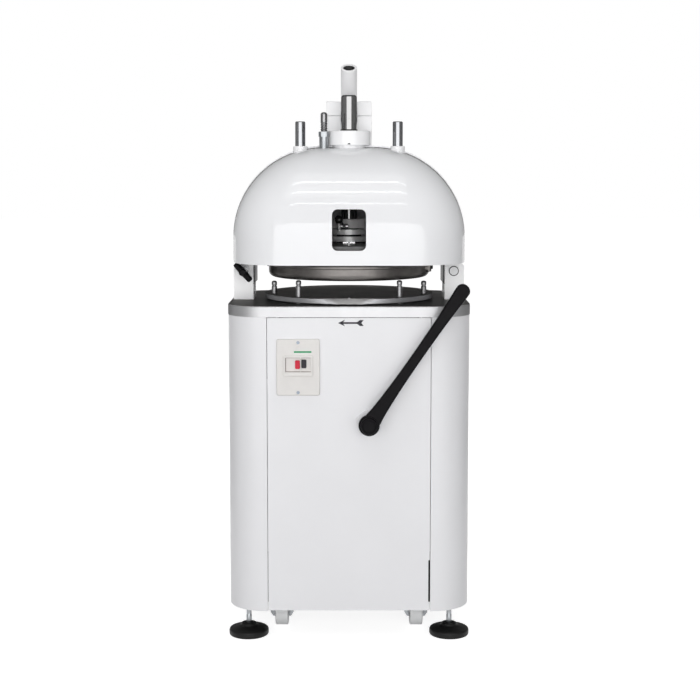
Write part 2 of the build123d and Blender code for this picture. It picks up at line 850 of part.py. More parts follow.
# Two bearings, the crank shaft that runs in them, and its pulley
bearing_lows = (housing_bottom + 2, drive_top - 2 - bearing_height)
with BuildPart() as crank_bearings:
    for bearing_z in bearing_lows:
        with BuildSketch(level(bearing_z, 0, eccentricity)):
            Circle(bearing_outer)
            Circle(crank_radius + running_gap, mode=Mode.SUBTRACT)
        extrude(amount=bearing_height)
save(crank_bearings, "crank_bearings")

with BuildPart() as crank_shaft:
    with Locations(place(0, eccentricity, crank_flange_top)):
        Cylinder(crank_flange_radius, crank_flange_thickness, align=DOWNWARD)
        Cylinder(crank_radius, crank_flange_thickness + crank_length, align=DOWNWARD)
        Cylinder(crank_radius + 4, crank_flange_top - drive_top + 2 - 2 * fit_gap, align=DOWNWARD)
    with Locations(place(0, 0, crank_flange_top)):
        Cylinder(crank_pin_radius, crank_pin_length, align=UPWARD)
save(crank_shaft, "crank_shaft")


def grooved(radius):
    """Half section of a pulley with one groove, as (radius, height) points."""
    low = pulley_bottom
    high = pulley_top
    lip = (pulley_width - belt_height) / 2 - 1
    return (
        (0, low),
        (radius, low),
        (radius, low + lip),
        (radius - pulley_groove, low + lip),
        (radius - pulley_groove, high - lip),
        (radius, high - lip),
        (radius, high),
        (0, high),
    )


with BuildPart() as main_pulley:
    with BuildSketch(upright(eccentricity)):
        Polygon(*grooved(pulley_radius), align=None)
    revolve(axis=spin_axis(0, eccentricity))
    with Locations(place(0, eccentricity, pulley_bottom)):
        Cylinder(crank_radius + fit_gap, 4 * pulley_width, mode=Mode.SUBTRACT)
save(main_pulley, "main_pulley")

with BuildPart() as motor:
    with Locations(place(motor_x, motor_y, motor_top)):
        Cylinder(motor_radius, motor_length, align=DOWNWARD)
        Cylinder(motor_shaft_radius + running_gap, motor_length / 3, align=DOWNWARD, mode=Mode.SUBTRACT)
    fillet(motor.edges().sort_by(Axis.Z)[0], 8)
save(motor, "motor")

with BuildPart() as motor_pulley:
    with BuildSketch(upright(motor_y, motor_x)):
        Polygon(*grooved(motor_pulley_radius), align=None)
    revolve(axis=spin_axis(motor_x, motor_y))
    with Locations(place(motor_x, motor_y, pulley_top)):
        Cylinder(motor_shaft_radius, pulley_top - motor_top + motor_length / 3 - 1, align=DOWNWARD)
save(motor_pulley, "motor_pulley")

belt_inner_main = pulley_radius - pulley_groove + fit_gap
belt_inner_motor = motor_pulley_radius - pulley_groove + fit_gap
belt_thickness = pulley_groove - 2 * fit_gap
belt_angle = acos((belt_inner_main - belt_inner_motor) / motor_run)


def belt_outline(extra):
    """Corner points where a belt of the given extra radius leaves the two pulleys."""
    large = belt_inner_main + extra
    small = belt_inner_motor + extra
    return (
        (large * cos(belt_angle), large * sin(belt_angle)),
        (large * cos(belt_angle), -large * sin(belt_angle)),
        (motor_run + small * cos(belt_angle), -small * sin(belt_angle)),
        (motor_run + small * cos(belt_angle), small * sin(belt_angle)),
    )


with BuildPart() as drive_belt:
    with BuildSketch(drive_plane((pulley_bottom + pulley_top - belt_height) / 2)):
        Circle(belt_inner_main + belt_thickness)
        with Locations((motor_run, 0)):
            Circle(belt_inner_motor + belt_thickness)
        Polygon(*belt_outline(belt_thickness), align=None)
        Circle(belt_inner_main, mode=Mode.SUBTRACT)
        with Locations((motor_run, 0)):
            Circle(belt_inner_motor, mode=Mode.SUBTRACT)
        Polygon(*belt_outline(0), align=None, mode=Mode.SUBTRACT)
    extrude(amount=belt_height)
save(drive_belt, "drive_belt")

# Idler cranks hold the table square while it orbits
idler_bottom = cabinet_top - idler_boss_length
for side, name in ((-1, "idler_crank_left"), (1, "idler_crank_right")):
    with BuildPart() as idler_crank:
        with Locations(place(side * idler_circle, eccentricity, crank_flange_top)):
            Cylinder(idler_flange_radius, crank_flange_thickness, align=DOWNWARD)
            Cylinder(idler_journal_radius, crank_flange_top - idler_bottom, align=DOWNWARD)
        with Locations(place(side * idler_circle, 0, crank_flange_top)):
            Cylinder(idler_pin_radius, idler_pin_length, align=UPWARD)
    save(idler_crank, name)

# Rounding table: raised rim, shallow recess, a bevelled scoop in the front face and a small nib behind it
table_floor = table_top - table_recess
table_recess_radius = table_radius - table_land
scoop_faces = (
    (table_bottom, scoop_foot_half, scoop_foot_depth, scoop_foot_mouth_half),
    (table_top, scoop_top_half, scoop_top_depth, scoop_top_mouth_half),
)
nib_circle = table_radius - scoop_top_depth - nib_setback
with BuildPart() as rounding_table:
    with BuildSketch(upright()):
        Polygon(
            (0, table_bottom),
            (table_radius - table_foot_chamfer, table_bottom),
            (table_radius, table_bottom + table_foot_chamfer),
            (table_radius, table_top - 1),
            (table_radius - 1, table_top),
            (table_recess_radius + 2 * table_recess, table_top),
            (table_recess_radius, table_floor),
            (0, table_floor),
            align=None,
        )
    revolve(axis=spin_axis())
    for height, floor_half, floor_depth, mouth_half in scoop_faces:
        mouth_y = -sqrt(table_radius ** 2 - mouth_half ** 2)
        floor_y = floor_depth - table_radius
        with BuildSketch(level(height)):
            Polygon(
                (-mouth_half, mouth_y),
                (-floor_half, floor_y),
                (floor_half, floor_y),
                (mouth_half, mouth_y),
                (mouth_half, -2 * table_radius),
                (-mouth_half, -2 * table_radius),
                align=None,
            )
    loft(ruled=True, mode=Mode.SUBTRACT)
    with Locations(place(0, -nib_circle, table_bottom + 1)):
        Cylinder(nib_radius, table_thickness + nib_height - 1, align=UPWARD)
    fillet(rounding_table.edges().sort_by(Axis.Z)[-1], nib_crown)
    with Locations(place(0, 0, table_bottom)):
        Cylinder(crank_pin_radius + running_gap, crank_pin_length, align=UPWARD, mode=Mode.SUBTRACT)
    with Locations(place(-idler_circle, 0, table_bottom), place(idler_circle, 0, table_bottom)):
        Cylinder(idler_pin_radius + running_gap, idler_pin_length, align=UPWARD, mode=Mode.SUBTRACT)
    with BuildSketch(level(table_bottom)):
        for pin_x, pin_y, pin_top in pin_places:
            with Locations((pin_x, pin_y)):
                Circle(pin_radius + running_gap)
    extrude(amount=2 * table_thickness, mode=Mode.SUBTRACT)
save(rounding_table, "rounding_table")

# Chrome rim pins with a neck, a rounded head and a collar under the table
pin_foot = table_bottom - fit_gap - pin_collar_height
with BuildPart() as plate_pins:
    for pin_x, pin_y, pin_top in pin_places:
        with BuildSketch(upright(pin_y, pin_x)):
            Polygon(
                (0, pin_foot),
                (pin_collar_radius, pin_foot),
                (pin_collar_radius, pin_foot + pin_collar_height),
                (pin_radius, pin_foot + pin_collar_height),
                (pin_radius, pin_top - 15),
                (pin_neck_radius, pin_top - 13.5),
                (pin_neck_radius, pin_top - 11.5),
                (pin_radius, pin_top - 10),
                (pin_radius, pin_top - 4),
                (pin_radius - 1.2, pin_top - 1.5),
                (pin_radius - 4, pin_top),
                (0, pin_top),
                align=None,
            )
        revolve(axis=spin_axis(pin_x, pin_y))
save(plate_pins, "plate_pins")

# Posts: channels open towards the table, on foot plates
post_top = plate_top + post_height
post_middle = post_inner + post_width / 2
for side, name in ((-1, "left_post"), (1, "right_post")):
    with BuildPart() as post:
        with Locations(place(side * post_middle, 0, plate_top + fit_gap)):
            Box(post_width, post_depth, post_foot, align=UPWARD)
        for end in (-1, 1):
            flange_y = end * (post_depth - post_wall) / 2
            with BuildSketch(upright(flange_y + post_wall / 2)):
                outer = post_inner + post_width
                Polygon(
                    (side * post_inner, plate_top + post_foot),
                    (side * outer, plate_top + post_foot),
                    (side * outer, post_top - post_corner_cut),
                    (side * (outer - post_corner_cut), post_top),
                    (side * post_inner, post_top),
                    align=None,
                )
            extrude(amount=post_wall)
        with Locations(place(side * (post_inner + post_width - post_wall / 2), 0, plate_top + post_foot)):
            Box(post_wall, post_depth, post_height - post_foot - post_web_drop, align=UPWARD)
        if side > 0:
            with Locations(place(hinge_x, 0, hinge_z)):
                Cylinder(hinge_radius + fit_gap, 2 * post_depth, rotation=ALONG_Y, mode=Mode.SUBTRACT)
        else:
            with Locations(place(-hinge_x, -post_depth / 2, hinge_z)):
                Cylinder(clamp_radius + running_gap, post_depth / 2, rotation=ALONG_Y, mode=Mode.SUBTRACT)
    save(post, name)

with BuildPart() as hinge_pin:
    with Locations(place(hinge_x, 0, hinge_z)):
        Cylinder(hinge_radius, post_depth + 5, rotation=ALONG_Y)
    chamfer(hinge_pin.edges(), 1.2)
save(hinge_pin, "hinge_pin")

# Clamp: a screw through the left post with a steel collar, and a T-handle
clamp_tip = -beam_half_depth + clamp_bite
clamp_front = -post_depth / 2
handle_y = clamp_front - clamp_reach
with BuildPart() as clamp_screw:
    with BuildSketch(upright(clamp_tip)):
        with Locations((-hinge_x, hinge_z)):
            Circle(clamp_radius)
    extrude(amount=clamp_tip - handle_y)
    with BuildSketch(upright(clamp_front - fit_gap)):
        with Locations((-hinge_x, hinge_z)):
            Circle(clamp_collar_radius)
    extrude(amount=clamp_collar_length)
    with BuildSketch(upright(handle_y + handle_hub_length / 2)):
        with Locations((-hinge_x, hinge_z)):
            Circle(handle_hub_radius)
    extrude(amount=handle_hub_length)
    chamfer(clamp_screw.faces().sort_by(Axis.Y)[0].edges(), 1.5)
    with Locations(place(-hinge_x, handle_y, hinge_z)):
        Cylinder(
            handle_radius + fit_gap,
            4 * handle_hub_radius,
            rotation=(0, 90 + handle_lean, 0),
            mode=Mode.SUBTRACT,
        )
save(clamp_screw, "clamp_screw")

with BuildPart() as clamp_handle:
    with Locations(place(-hinge_x, handle_y, hinge_z)):
        Cylinder(handle_radius, 2 * handle_half, rotation=(0, 90 + handle_lean, 0))
    fillet(clamp_handle.edges(), handle_radius * 0.6)
save(clamp_handle, "clamp_handle")

# Head frame: a portal with two lugs, a beam and a shelf for the lever bracket
lug_bottom = hinge_z - lug_drop
with BuildPart() as head_frame:
    with BuildSketch(upright(beam_half_depth)):
        Polygon(
            (lug_inner + lug_round, lug_bottom),
            (lug_outer - lug_round, lug_bottom),
            (lug_outer, lug_bottom + lug_round),
            (lug_outer, shoulder_z),
            (lug_outer - haunch_outer_lean, shoulder_z + haunch_rise),
            (lug_outer - crown_outer_lean, beam_top),
            (crown_outer_lean - lug_outer, beam_top),
            (haunch_outer_lean - lug_outer, shoulder_z + haunch_rise),
            (-lug_outer, shoulder_z),
            (-lug_outer, lug_bottom + lug_round),
            (lug_round - lug_outer, lug_bottom),
            (-lug_inner - lug_round, lug_bottom),
            (-lug_inner, lug_bottom + lug_round),
            (-lug_inner, shoulder_z),
            (haunch_inner_lean - lug_inner, beam_bottom - haunch_rise),
            (crown_inner_lean - lug_inner, beam_bottom),
            (lug_inner - crown_inner_lean, beam_bottom),
            (lug_inner - haunch_inner_lean, beam_bottom - haunch_rise),
            (lug_inner, shoulder_z),
            (lug_inner, lug_bottom + lug_round),
            align=None,
        )
    extrude(amount=2 * beam_half_depth)
    with BuildSketch(level(beam_bottom)):
        with Locations((0, shelf_reach / 2)):
            Rectangle(2 * shelf_half_width, shelf_reach)
    extrude(amount=beam_height)
    with BuildSketch(level(beam_bottom)):
        Circle(collar_spigot_radius + fit_gap)
        with Locations((-column_x, 0), (column_x, 0)):
            Circle(guide_spigot_radius + fit_gap)
    extrude(amount=beam_height, mode=Mode.SUBTRACT)
    with Locations(place(hinge_x, 0, hinge_z)):
        Cylinder(hinge_radius + running_gap, 2 * post_depth, rotation=ALONG_Y, mode=Mode.SUBTRACT)
    slot_width = 2 * clamp_radius + clamp_slot_play
    with BuildSketch(upright(-beam_half_depth)):
        with Locations((-hinge_x, hinge_z)):
            Circle(slot_width / 2)
        with Locations((-hinge_x, hinge_z - lug_drop / 2 - 1)):
            Rectangle(slot_width, lug_drop + 2)
    extrude(amount=-(clamp_bite + clear_gap), mode=Mode.SUBTRACT)
save(head_frame, "head_frame")

# Collar that guides the press rod, with a relief for the gear at the back
with BuildPart() as head_collar:
    with BuildSketch(upright()):
        Polygon(
            (rod_radius + running_gap, beam_bottom),
            (collar_spigot_radius, beam_bottom),
            (collar_spigot_radius, beam_top + fit_gap),
            (collar_neck_radius + collar_shoulder, beam_top + fit_gap),
            (collar_neck_radius + collar_shoulder, neck_bottom),
            (collar_neck_radius, neck_bottom),
            (collar_neck_radius, neck_top),
            (collar_radius - 1, neck_top),
            (collar_radius, neck_top + 1),
            (collar_radius, collar_top - 2),
            (collar_radius - 2, collar_top),
            (rod_radius + running_gap, collar_top),
            align=None,
        )
    revolve(axis=spin_axis())
    with BuildSketch(level(collar_top - 13)):
        with Locations((0, 27 + collar_radius / 2)):
            Rectangle(46, collar_radius)
    extrude(amount=2 * collar_height, mode=Mode.SUBTRACT)
save(head_collar, "head_collar")

with BuildPart() as rod_wiper:
    with BuildSketch(level(collar_top + fit_gap)):
        Circle(wiper_radius)
        Circle(rod_radius + fit_gap, mode=Mode.SUBTRACT)
    extrude(amount=wiper_height)
save(rod_wiper, "rod_wiper")

# Guide bushes beside the rod
guide_shoulder_top = neck_bottom - 20
guide_top = hood_top - guide_drop
with BuildPart() as guide_bushes:
    for side in (-1, 1):
        with BuildSketch(upright(0, side * column_x)):
            Polygon(
                (column_radius + running_gap, beam_bottom),
                (guide_spigot_radius, beam_bottom),
                (guide_spigot_radius, beam_top + fit_gap),
                (guide_spigot_radius + 5, beam_top + fit_gap),
                (guide_spigot_radius + 5, guide_shoulder_top),
                (guide_neck_radius, guide_shoulder_top),
                (guide_neck_radius, guide_top - guide_chamfer),
                (guide_neck_radius - guide_chamfer, guide_top),
                (column_radius + running_gap, guide_top),
                align=None,
            )
        revolve(axis=spin_axis(side * column_x, 0))
save(guide_bushes, "guide_bushes")


def dome(inset):
    """Hood body drawn in by an inset: a straight skirt with a rounded crown."""
    across = hood_radius - inset
    along = hood_depth_radius - inset
    corner = hood_corner_base - inset
    with BuildPart() as shell:
        with BuildSketch(level(hood_bottom)):
            RectangleRounded(2 * (hood_flat_x + across), 2 * (hood_flat_y + along), hood_corner_top + corner)
        extrude(amount=hood_shoulder)
        for step in range(hood_sections + 1):
            angle = pi / 2 * step / hood_sections
            with BuildSketch(level(shoulder_z + across * sin(angle))):
                RectangleRounded(
                    2 * (hood_flat_x + across * cos(angle)),
                    2 * (hood_flat_y + along * cos(angle)),
                    hood_corner_top + corner * cos(angle),
                )
        loft()
    return shell.part


def skirt(inset):
    """Plain prism below the hood that opens a shell at the bottom."""
    with BuildPart() as opening:
        with BuildSketch(level(hood_bottom - 10)):
            RectangleRounded(
                2 * (hood_flat_x + hood_radius - inset),
                2 * (hood_flat_y + hood_depth_radius - inset),
                hood_corner_top + hood_corner_base - inset,
            )
        extrude(amount=20)
    return opening.part


rear_outer = dome(0)
rear_inner = dome(rear_wall)
front_outer = dome(shell_step)
front_inner = dome(shell_step + front_wall)
with BuildPart() as hood_rear:
    add(rear_outer)
    add(rear_inner, mode=Mode.SUBTRACT)
    add(skirt(rear_wall), mode=Mode.SUBTRACT)
    split(bisect_by=Plane(origin=place(0, shell_split / 2, 0), z_dir=(0, 1, 0)), keep=Keep.TOP)
    with BuildSketch(level(beam_top)):
        Circle(collar_neck_radius + fit_gap)
        with Locations((-column_x, 0), (column_x, 0)):
            Circle(guide_neck_radius + fit_gap)
        with Locations((0, pivot_y + (cheek_back - cheek_front) / 2)):
            Rectangle(2 * (cheek_outer + 2 * fit_gap), cheek_front + cheek_back + 4 * fit_gap)
    extrude(amount=2 * hood_radius, mode=Mode.SUBTRACT)
save(hood_rear, "hood_rear")

with BuildPart() as hood_front:
    add(front_outer)
    add(front_inner, mode=Mode.SUBTRACT)
    add(skirt(shell_step + front_wall), mode=Mode.SUBTRACT)
    split(bisect_by=Plane(origin=place(0, -shell_split / 2, 0), z_dir=(0, -1, 0)), keep=Keep.TOP)
    with BuildSketch(level(beam_top)):
        Circle(collar_neck_radius + fit_gap)
        with Locations((-column_x, 0), (column_x, 0)):
            Circle(guide_neck_radius + fit_gap)
        with Locations((stop_x, stop_y)):
            Circle(stop_sleeve_radius + fit_gap)
    extrude(amount=2 * hood_radius, mode=Mode.SUBTRACT)
    with BuildSketch(upright(-hood_flat_y - hood_radius)):
        with Locations((0, hood_bottom + window_lift + window_height / 2)):
            RectangleRounded(window_width, window_height, window_round)
    extrude(amount=-hood_radius + hood_flat_y, mode=Mode.SUBTRACT)
save(hood_front, "hood_front")

# Stop screw in a hex-headed sleeve
with BuildPart() as stop_sleeve:
    sleeve_top = hood_top + stop_sleeve_rise
    with Locations(place(stop_x, stop_y, beam_top + fit_gap)):
        Cylinder(stop_sleeve_radius, sleeve_top - beam_top - fit_gap, align=UPWARD)
    with BuildSketch(level(sleeve_top, stop_x, stop_y)):
        RegularPolygon(stop_hex_flat / 2, 6, major_radius=False)
    extrude(amount=stop_hex_height)
    with Locations(place(stop_x, stop_y, beam_top)):
        Cylinder(stop_radius + fit_gap, 2 * hood_radius, align=UPWARD, mode=Mode.SUBTRACT)
save(stop_sleeve, "stop_sleeve")

with BuildPart() as stop_screw:
    with Locations(place(stop_x, stop_y, beam_top + fit_gap)):
        Cylinder(stop_radius, hood_top + stop_rise - beam_top - fit_gap, align=UPWARD)
    fillet(stop_screw.edges().sort_by(Axis.Z)[-1], stop_radius * 0.6)
save(stop_screw, "stop_screw")

# Lever bracket: two cheeks and a saddle; the caps close the split bearings
cheek_mid = pivot_y + (cheek_back - cheek_front) / 2
cheek_depth = cheek_front + cheek_back
cheek_width = cheek_outer - cheek_inner
cheek_middle = (cheek_inner + cheek_outer) / 2
with BuildPart() as lever_bracket:
    with BuildSketch(level(beam_top + fit_gap, 0, cheek_mid)):
        with Locations((-cheek_middle, 0), (cheek_middle, 0)):
            Rectangle(cheek_width, cheek_depth)
    extrude(amount=pivot_z - cap_seam / 2 - beam_top - fit_gap)
    fillet(lever_bracket.edges().filter_by(Axis.Z), cap_round)
    with Locations(place(0, cheek_mid, beam_top + fit_gap)):
        Box(2 * cheek_middle, cheek_depth - 2 * cap_round, saddle_height, align=UPWARD)
    with Locations(place(0, pivot_y, pivot_z)):
        Cylinder(journal_radius + running_gap, 4 * cheek_outer, rotation=ALONG_X, mode=Mode.SUBTRACT)
save(lever_bracket, "lever_bracket")

with BuildPart() as bracket_caps:
    with BuildSketch(level(pivot_z + cap_seam / 2, 0, cheek_mid)):
        with Locations((-cheek_middle, 0), (cheek_middle, 0)):
            Rectangle(cheek_width, cheek_depth)
    extrude(amount=cap_height)
    fillet(bracket_caps.edges().filter_by(Axis.Z), cap_round)
    fillet(bracket_caps.faces().filter_by(Axis.Z).sort_by(Axis.Z)[-2:].edges(), cap_round / 2)
    with Locations(place(0, pivot_y, pivot_z)):
        Cylinder(journal_radius + running_gap, 4 * cheek_outer, rotation=ALONG_X, mode=Mode.SUBTRACT)
save(bracket_caps, "bracket_caps")

# Geared lever hub: involute teeth on the front, journals at the sides, a spigot for the tube
gear_tip = pitch_radius + 0.9 * module
gear_root = pitch_radius - 1.2 * module
gear_base = pitch_radius * cos(radians(pressure_angle))
tooth_step = 2 * pi / gear_teeth


def involute(angle):
    """Involute function of an angle in radians."""
    return tan(angle) - angle


def half_tooth(radius):
    """Half the angle of one tooth at a radius."""
    half_pitch = (pi * module / 2 - backlash) / (2 * pitch_radius)
    contact = acos(min(1.0, gear_base / radius))
    return half_pitch + involute(radians(pressure_angle)) - involute(contact)


def polar(radius, angle):
    """Point on the gear, with the angle in radians from the front and upwards."""
    return (radius * cos(angle), radius * sin(angle))


flank = [gear_base + (gear_tip - gear_base) * part / 4 for part in range(5)]
gear_points = [(0, 0), polar(gear_root, (gear_first - 0.45) * tooth_step)]
for tooth in range(gear_first, gear_last + 1):
    centre = tooth * tooth_step
    gear_points.append(polar(gear_root, centre - half_tooth(gear_base)))
    for radius in flank:
        gear_points.append(polar(radius, centre - half_tooth(radius)))
    for radius in reversed(flank):
        gear_points.append(polar(radius, centre + half_tooth(radius)))
    gear_points.append(polar(gear_root, centre + half_tooth(gear_base)))
gear_points.append(polar(gear_root, (gear_last + 0.45) * tooth_step))

pivot_plane = Plane(origin=place(0, pivot_y, pivot_z), x_dir=(0, -1, 0), z_dir=(-1, 0, 0))
tilt = radians(lever_elevation)
socket_start = place(0, pivot_y + socket_offset * sin(tilt), pivot_z + socket_offset * cos(tilt))
socket_plane = Plane(origin=socket_start, x_dir=(1, 0, 0), z_dir=(0, -cos(tilt), sin(tilt)))
with BuildPart() as lever_hub:
    with BuildSketch(pivot_plane):
        Polygon(*gear_points, align=None)
    extrude(amount=gear_half_width, both=True)
    with BuildSketch(pivot_plane):
        Circle(hub_radius)
    extrude(amount=socket_radius, both=True)
    with BuildSketch(pivot_plane):
        Circle(journal_radius)
    extrude(amount=cheek_outer - clear_gap, both=True)
    with BuildSketch(socket_plane):
        Circle(socket_radius)
    extrude(amount=socket_root)
    with BuildSketch(socket_plane):
        Circle(socket_spigot_radius)
    extrude(amount=socket_root + socket_spigot)
save(lever_hub, "lever_hub")

with BuildPart() as lever_tube:
    with BuildSketch(socket_plane.offset(socket_root + fit_gap)):
        Circle(socket_radius)
        Circle(socket_spigot_radius + fit_gap, mode=Mode.SUBTRACT)
    extrude(amount=socket_length - socket_root - fit_gap)
    with BuildSketch(socket_plane.offset(socket_root + socket_spigot + clear_gap)):
        Circle(socket_bore)
    extrude(amount=socket_length, mode=Mode.SUBTRACT)
    fillet(lever_tube.edges().sort_by(Axis.Z)[-2:], 1.2)
save(lever_tube, "lever_tube")

# Press rod with rack spaces at the back and a keyway at the front
rack_pitch = pi * module
rack_depth = 1.2 * module
rack_outside = rod_radius + 2 - rack_line
slope = tan(radians(pressure_angle))
with BuildPart() as press_rod:
    with Locations(place(0, 0, carriage_top + fit_gap)):
        Cylinder(rod_radius, rod_top - carriage_top - fit_gap, align=UPWARD)
    chamfer(press_rod.edges().sort_by(Axis.Z)[-1], rod_chamfer)
    with BuildSketch(Plane(origin=place(0, rack_line, pivot_z), x_dir=(0, 1, 0), z_dir=(1, 0, 0))):
        for space in range(gear_first, gear_last + 1):
            middle = space * rack_pitch
            inner = rack_pitch / 4 - rack_depth * slope
            outer = rack_pitch / 4 + rack_outside * slope
            Polygon(
                (-rack_depth, middle - inner),
                (rack_outside, middle - outer),
                (rack_outside, middle + outer),
                (-rack_depth, middle + inner),
                align=None,
            )
    extrude(amount=2 * rod_radius, both=True, mode=Mode.SUBTRACT)
    with BuildSketch(upright(-rod_radius)):
        with Locations((0, collar_top + (keyway_rise - keyway_tail) / 2)):
            SlotOverall(keyway_rise + keyway_tail, keyway_width, rotation=90)
    extrude(amount=-keyway_depth, mode=Mode.SUBTRACT)
save(press_rod, "press_rod")

# Carriage plate with a stepped hub and a pin for the catch
rings = (
    (0.0, inner_cell_edge, inner_cells),
    (inner_cell_edge, middle_cell_edge, middle_cells),
    (middle_cell_edge, ring_inner - blade_gap, outer_cells),
)
stem_radii = (
    inner_stem_circle,
    (inner_cell_edge + middle_cell_edge) / 2,
    (middle_cell_edge + ring_inner) / 2,
)
catch_z = hub_neck_z + catch_rise
with BuildPart() as carriage_plate:
    with BuildSketch(upright()):
        Polygon(
            (0, ring_top + fit_gap),
            (ring_radius - 4, ring_top + fit_gap),
            (ring_radius - 4, carriage_top),
            (hub_foot_radius, carriage_top),
            (hub_foot_radius, hub_flange_z),
            (hub_flange_radius, hub_flange_z),
            (hub_flange_radius, hub_waist_z),
            (hub_waist_radius, hub_waist_z),
            (hub_waist_radius, hub_ring_z),
            (hub_ring_radius, hub_ring_z),
            (hub_ring_radius, hub_neck_z),
            (hub_neck_radius, hub_neck_z),
            (hub_neck_radius, hub_head_z),
            (hub_head_radius, hub_head_z),
            (hub_head_radius, hub_top),
            (rod_radius + fit_gap, hub_top),
            (rod_radius + fit_gap, carriage_top),
            (0, carriage_top),
            align=None,
        )
    revolve(axis=spin_axis())
    with Locations(place(catch_x - catch_barrel_half - 4, catch_y + 5, hub_neck_z - 2)):
        Box(5, 22, catch_rise + 2 + catch_barrel_radius, align=UPWARD)
    with BuildSketch(Plane(origin=place(catch_x, catch_y, catch_z), z_dir=(1, 0, 0))):
        Circle(catch_pin_radius)
    extrude(amount=catch_barrel_half + 4, both=True)
    with BuildSketch(level(ring_top)):
        with Locations((-column_x, 0), (column_x, 0)):
            Circle(column_radius + fit_gap)
        with PolarLocations(lift_rod_circle, 3, start_angle=90):
            Circle(lift_rod_radius + fit_gap)
    extrude(amount=2 * carriage_thickness, mode=Mode.SUBTRACT)
save(carriage_plate, "carriage_plate")

with BuildPart() as guide_columns:
    with Locations(place(-column_x, 0, ring_top + fit_gap), place(column_x, 0, ring_top + fit_gap)):
        Cylinder(column_radius, hood_top + column_rise - ring_top - fit_gap, align=UPWARD)
    chamfer(guide_columns.edges().sort_by(Axis.Z)[-2:], 2)
save(guide_columns, "guide_columns")

# Press ring with a rounded foot, a collar line and two ears with bolts
collar_line = ring_bottom + ring_collar_lift
with BuildPart() as press_ring:
    with BuildSketch(upright()):
        with BuildLine():
            Line((ring_inner, ring_bottom), (ring_radius - ring_round, ring_bottom))
            RadiusArc(
                (ring_radius - ring_round, ring_bottom),
                (ring_radius, ring_bottom + ring_round),
                -ring_round,
            )
            Polyline(
                (ring_radius, ring_bottom + ring_round),
                (ring_radius, collar_line - ring_groove),
                (ring_radius - ring_groove, collar_line - ring_groove),
                (ring_radius - ring_groove, collar_line),
                (ring_radius + ring_collar_step, collar_line),
                (ring_radius + ring_collar_step, ring_top),
                (ring_inner, ring_top),
                (ring_inner, ring_bottom),
            )
        make_face()
    revolve(axis=spin_axis())
    for ear_turn in (ear_angle, ear_angle + 180):
        ear_along = (cos(radians(ear_turn)), sin(radians(ear_turn)), 0)
        with BuildSketch(Plane(origin=place(0, 0, ring_bottom + ear_lift), x_dir=ear_along, z_dir=(0, 0, 1))):
            with Locations(((ring_radius - ear_root + ear_reach) / 2, 0)):
                Rectangle(ear_reach - ring_radius + ear_root, ear_width)
        extrude(amount=ear_height)
        with BuildSketch(Plane(origin=place(0, 0, ring_bottom + ear_lift), x_dir=ear_along, z_dir=(0, 0, 1))):
            with Locations((ear_reach - ear_bolt_inset, 0)):
                RegularPolygon(ear_bolt_radius, 6)
        extrude(amount=-ear_bolt_height)
save(press_ring, "press_ring")

# Pressing segments in three rings, each on a stem from the carriage
half_gap = blade / 2 + blade_gap
with BuildPart() as press_segments:
    for (ring_start, ring_end, cells), stem_circle in zip(rings, stem_radii):
        with BuildSketch(level(segment_bottom)):
            if cells == outer_cells:
                Circle(ring_end)
            else:
                Circle(ring_end - half_gap)
            if ring_start > 0:
                Circle(ring_start + half_gap, mode=Mode.SUBTRACT)
            for cell in range(cells):
                with Locations(Location((0, 0), 360.0 * cell / cells)):
                    Rectangle(
                        2 * ring_inner,
                        2 * half_gap,
                        align=(Align.MIN, Align.CENTER),
                        mode=Mode.SUBTRACT,
                    )
        extrude(amount=segment_thickness)
        with BuildSketch(level(segment_top)):
            with PolarLocations(stem_circle, cells, start_angle=180.0 / cells):
                Circle(stem_rod_radius)
        extrude(amount=ring_top - segment_top)
save(press_segments, "press_segments")

# Knife grid: a carrier, radial and round blades, and three headed lift rods
with BuildPart() as knife_grid:
    with BuildSketch(level(knife_bottom)):
        for ring_start, ring_end, cells in rings:
            if cells != outer_cells:
                with Locations((0, 0)):
                    Circle(ring_end + blade / 2)
                    Circle(ring_end - blade / 2, mode=Mode.SUBTRACT)
    extrude(amount=knife_plate_top - knife_bottom)
    for ring_start, ring_end, cells in rings:
        with BuildSketch(level(knife_bottom)):
            for cell in range(cells):
                with Locations(Location((0, 0), 360.0 * cell / cells)):
                    with Locations((ring_start, 0)):
                        Rectangle(ring_end - ring_start - blade_gap, blade, align=(Align.MIN, Align.CENTER))
        extrude(amount=knife_plate_top - knife_bottom)
    with BuildSketch(level(knife_plate_bottom)):
        Circle(ring_inner - 2 * clear_gap)
        for (ring_start, ring_end, cells), stem_circle in zip(rings, stem_radii):
            with PolarLocations(stem_circle, cells, start_angle=180.0 / cells):
                Circle(stem_rod_radius + clear_gap, mode=Mode.SUBTRACT)
    extrude(amount=knife_plate_thickness)
    with BuildSketch(level(knife_plate_top)):
        with PolarLocations(lift_rod_circle, 3, start_angle=90):
            Circle(lift_rod_radius)
    extrude(amount=lift_head_bottom - knife_plate_top)
    with BuildSketch(level(lift_head_bottom)):
        with PolarLocations(lift_rod_circle, 3, start_angle=90):
            Circle(lift_head_radius)
    extrude(amount=lift_head_height)
save(knife_grid, "knife_grid")

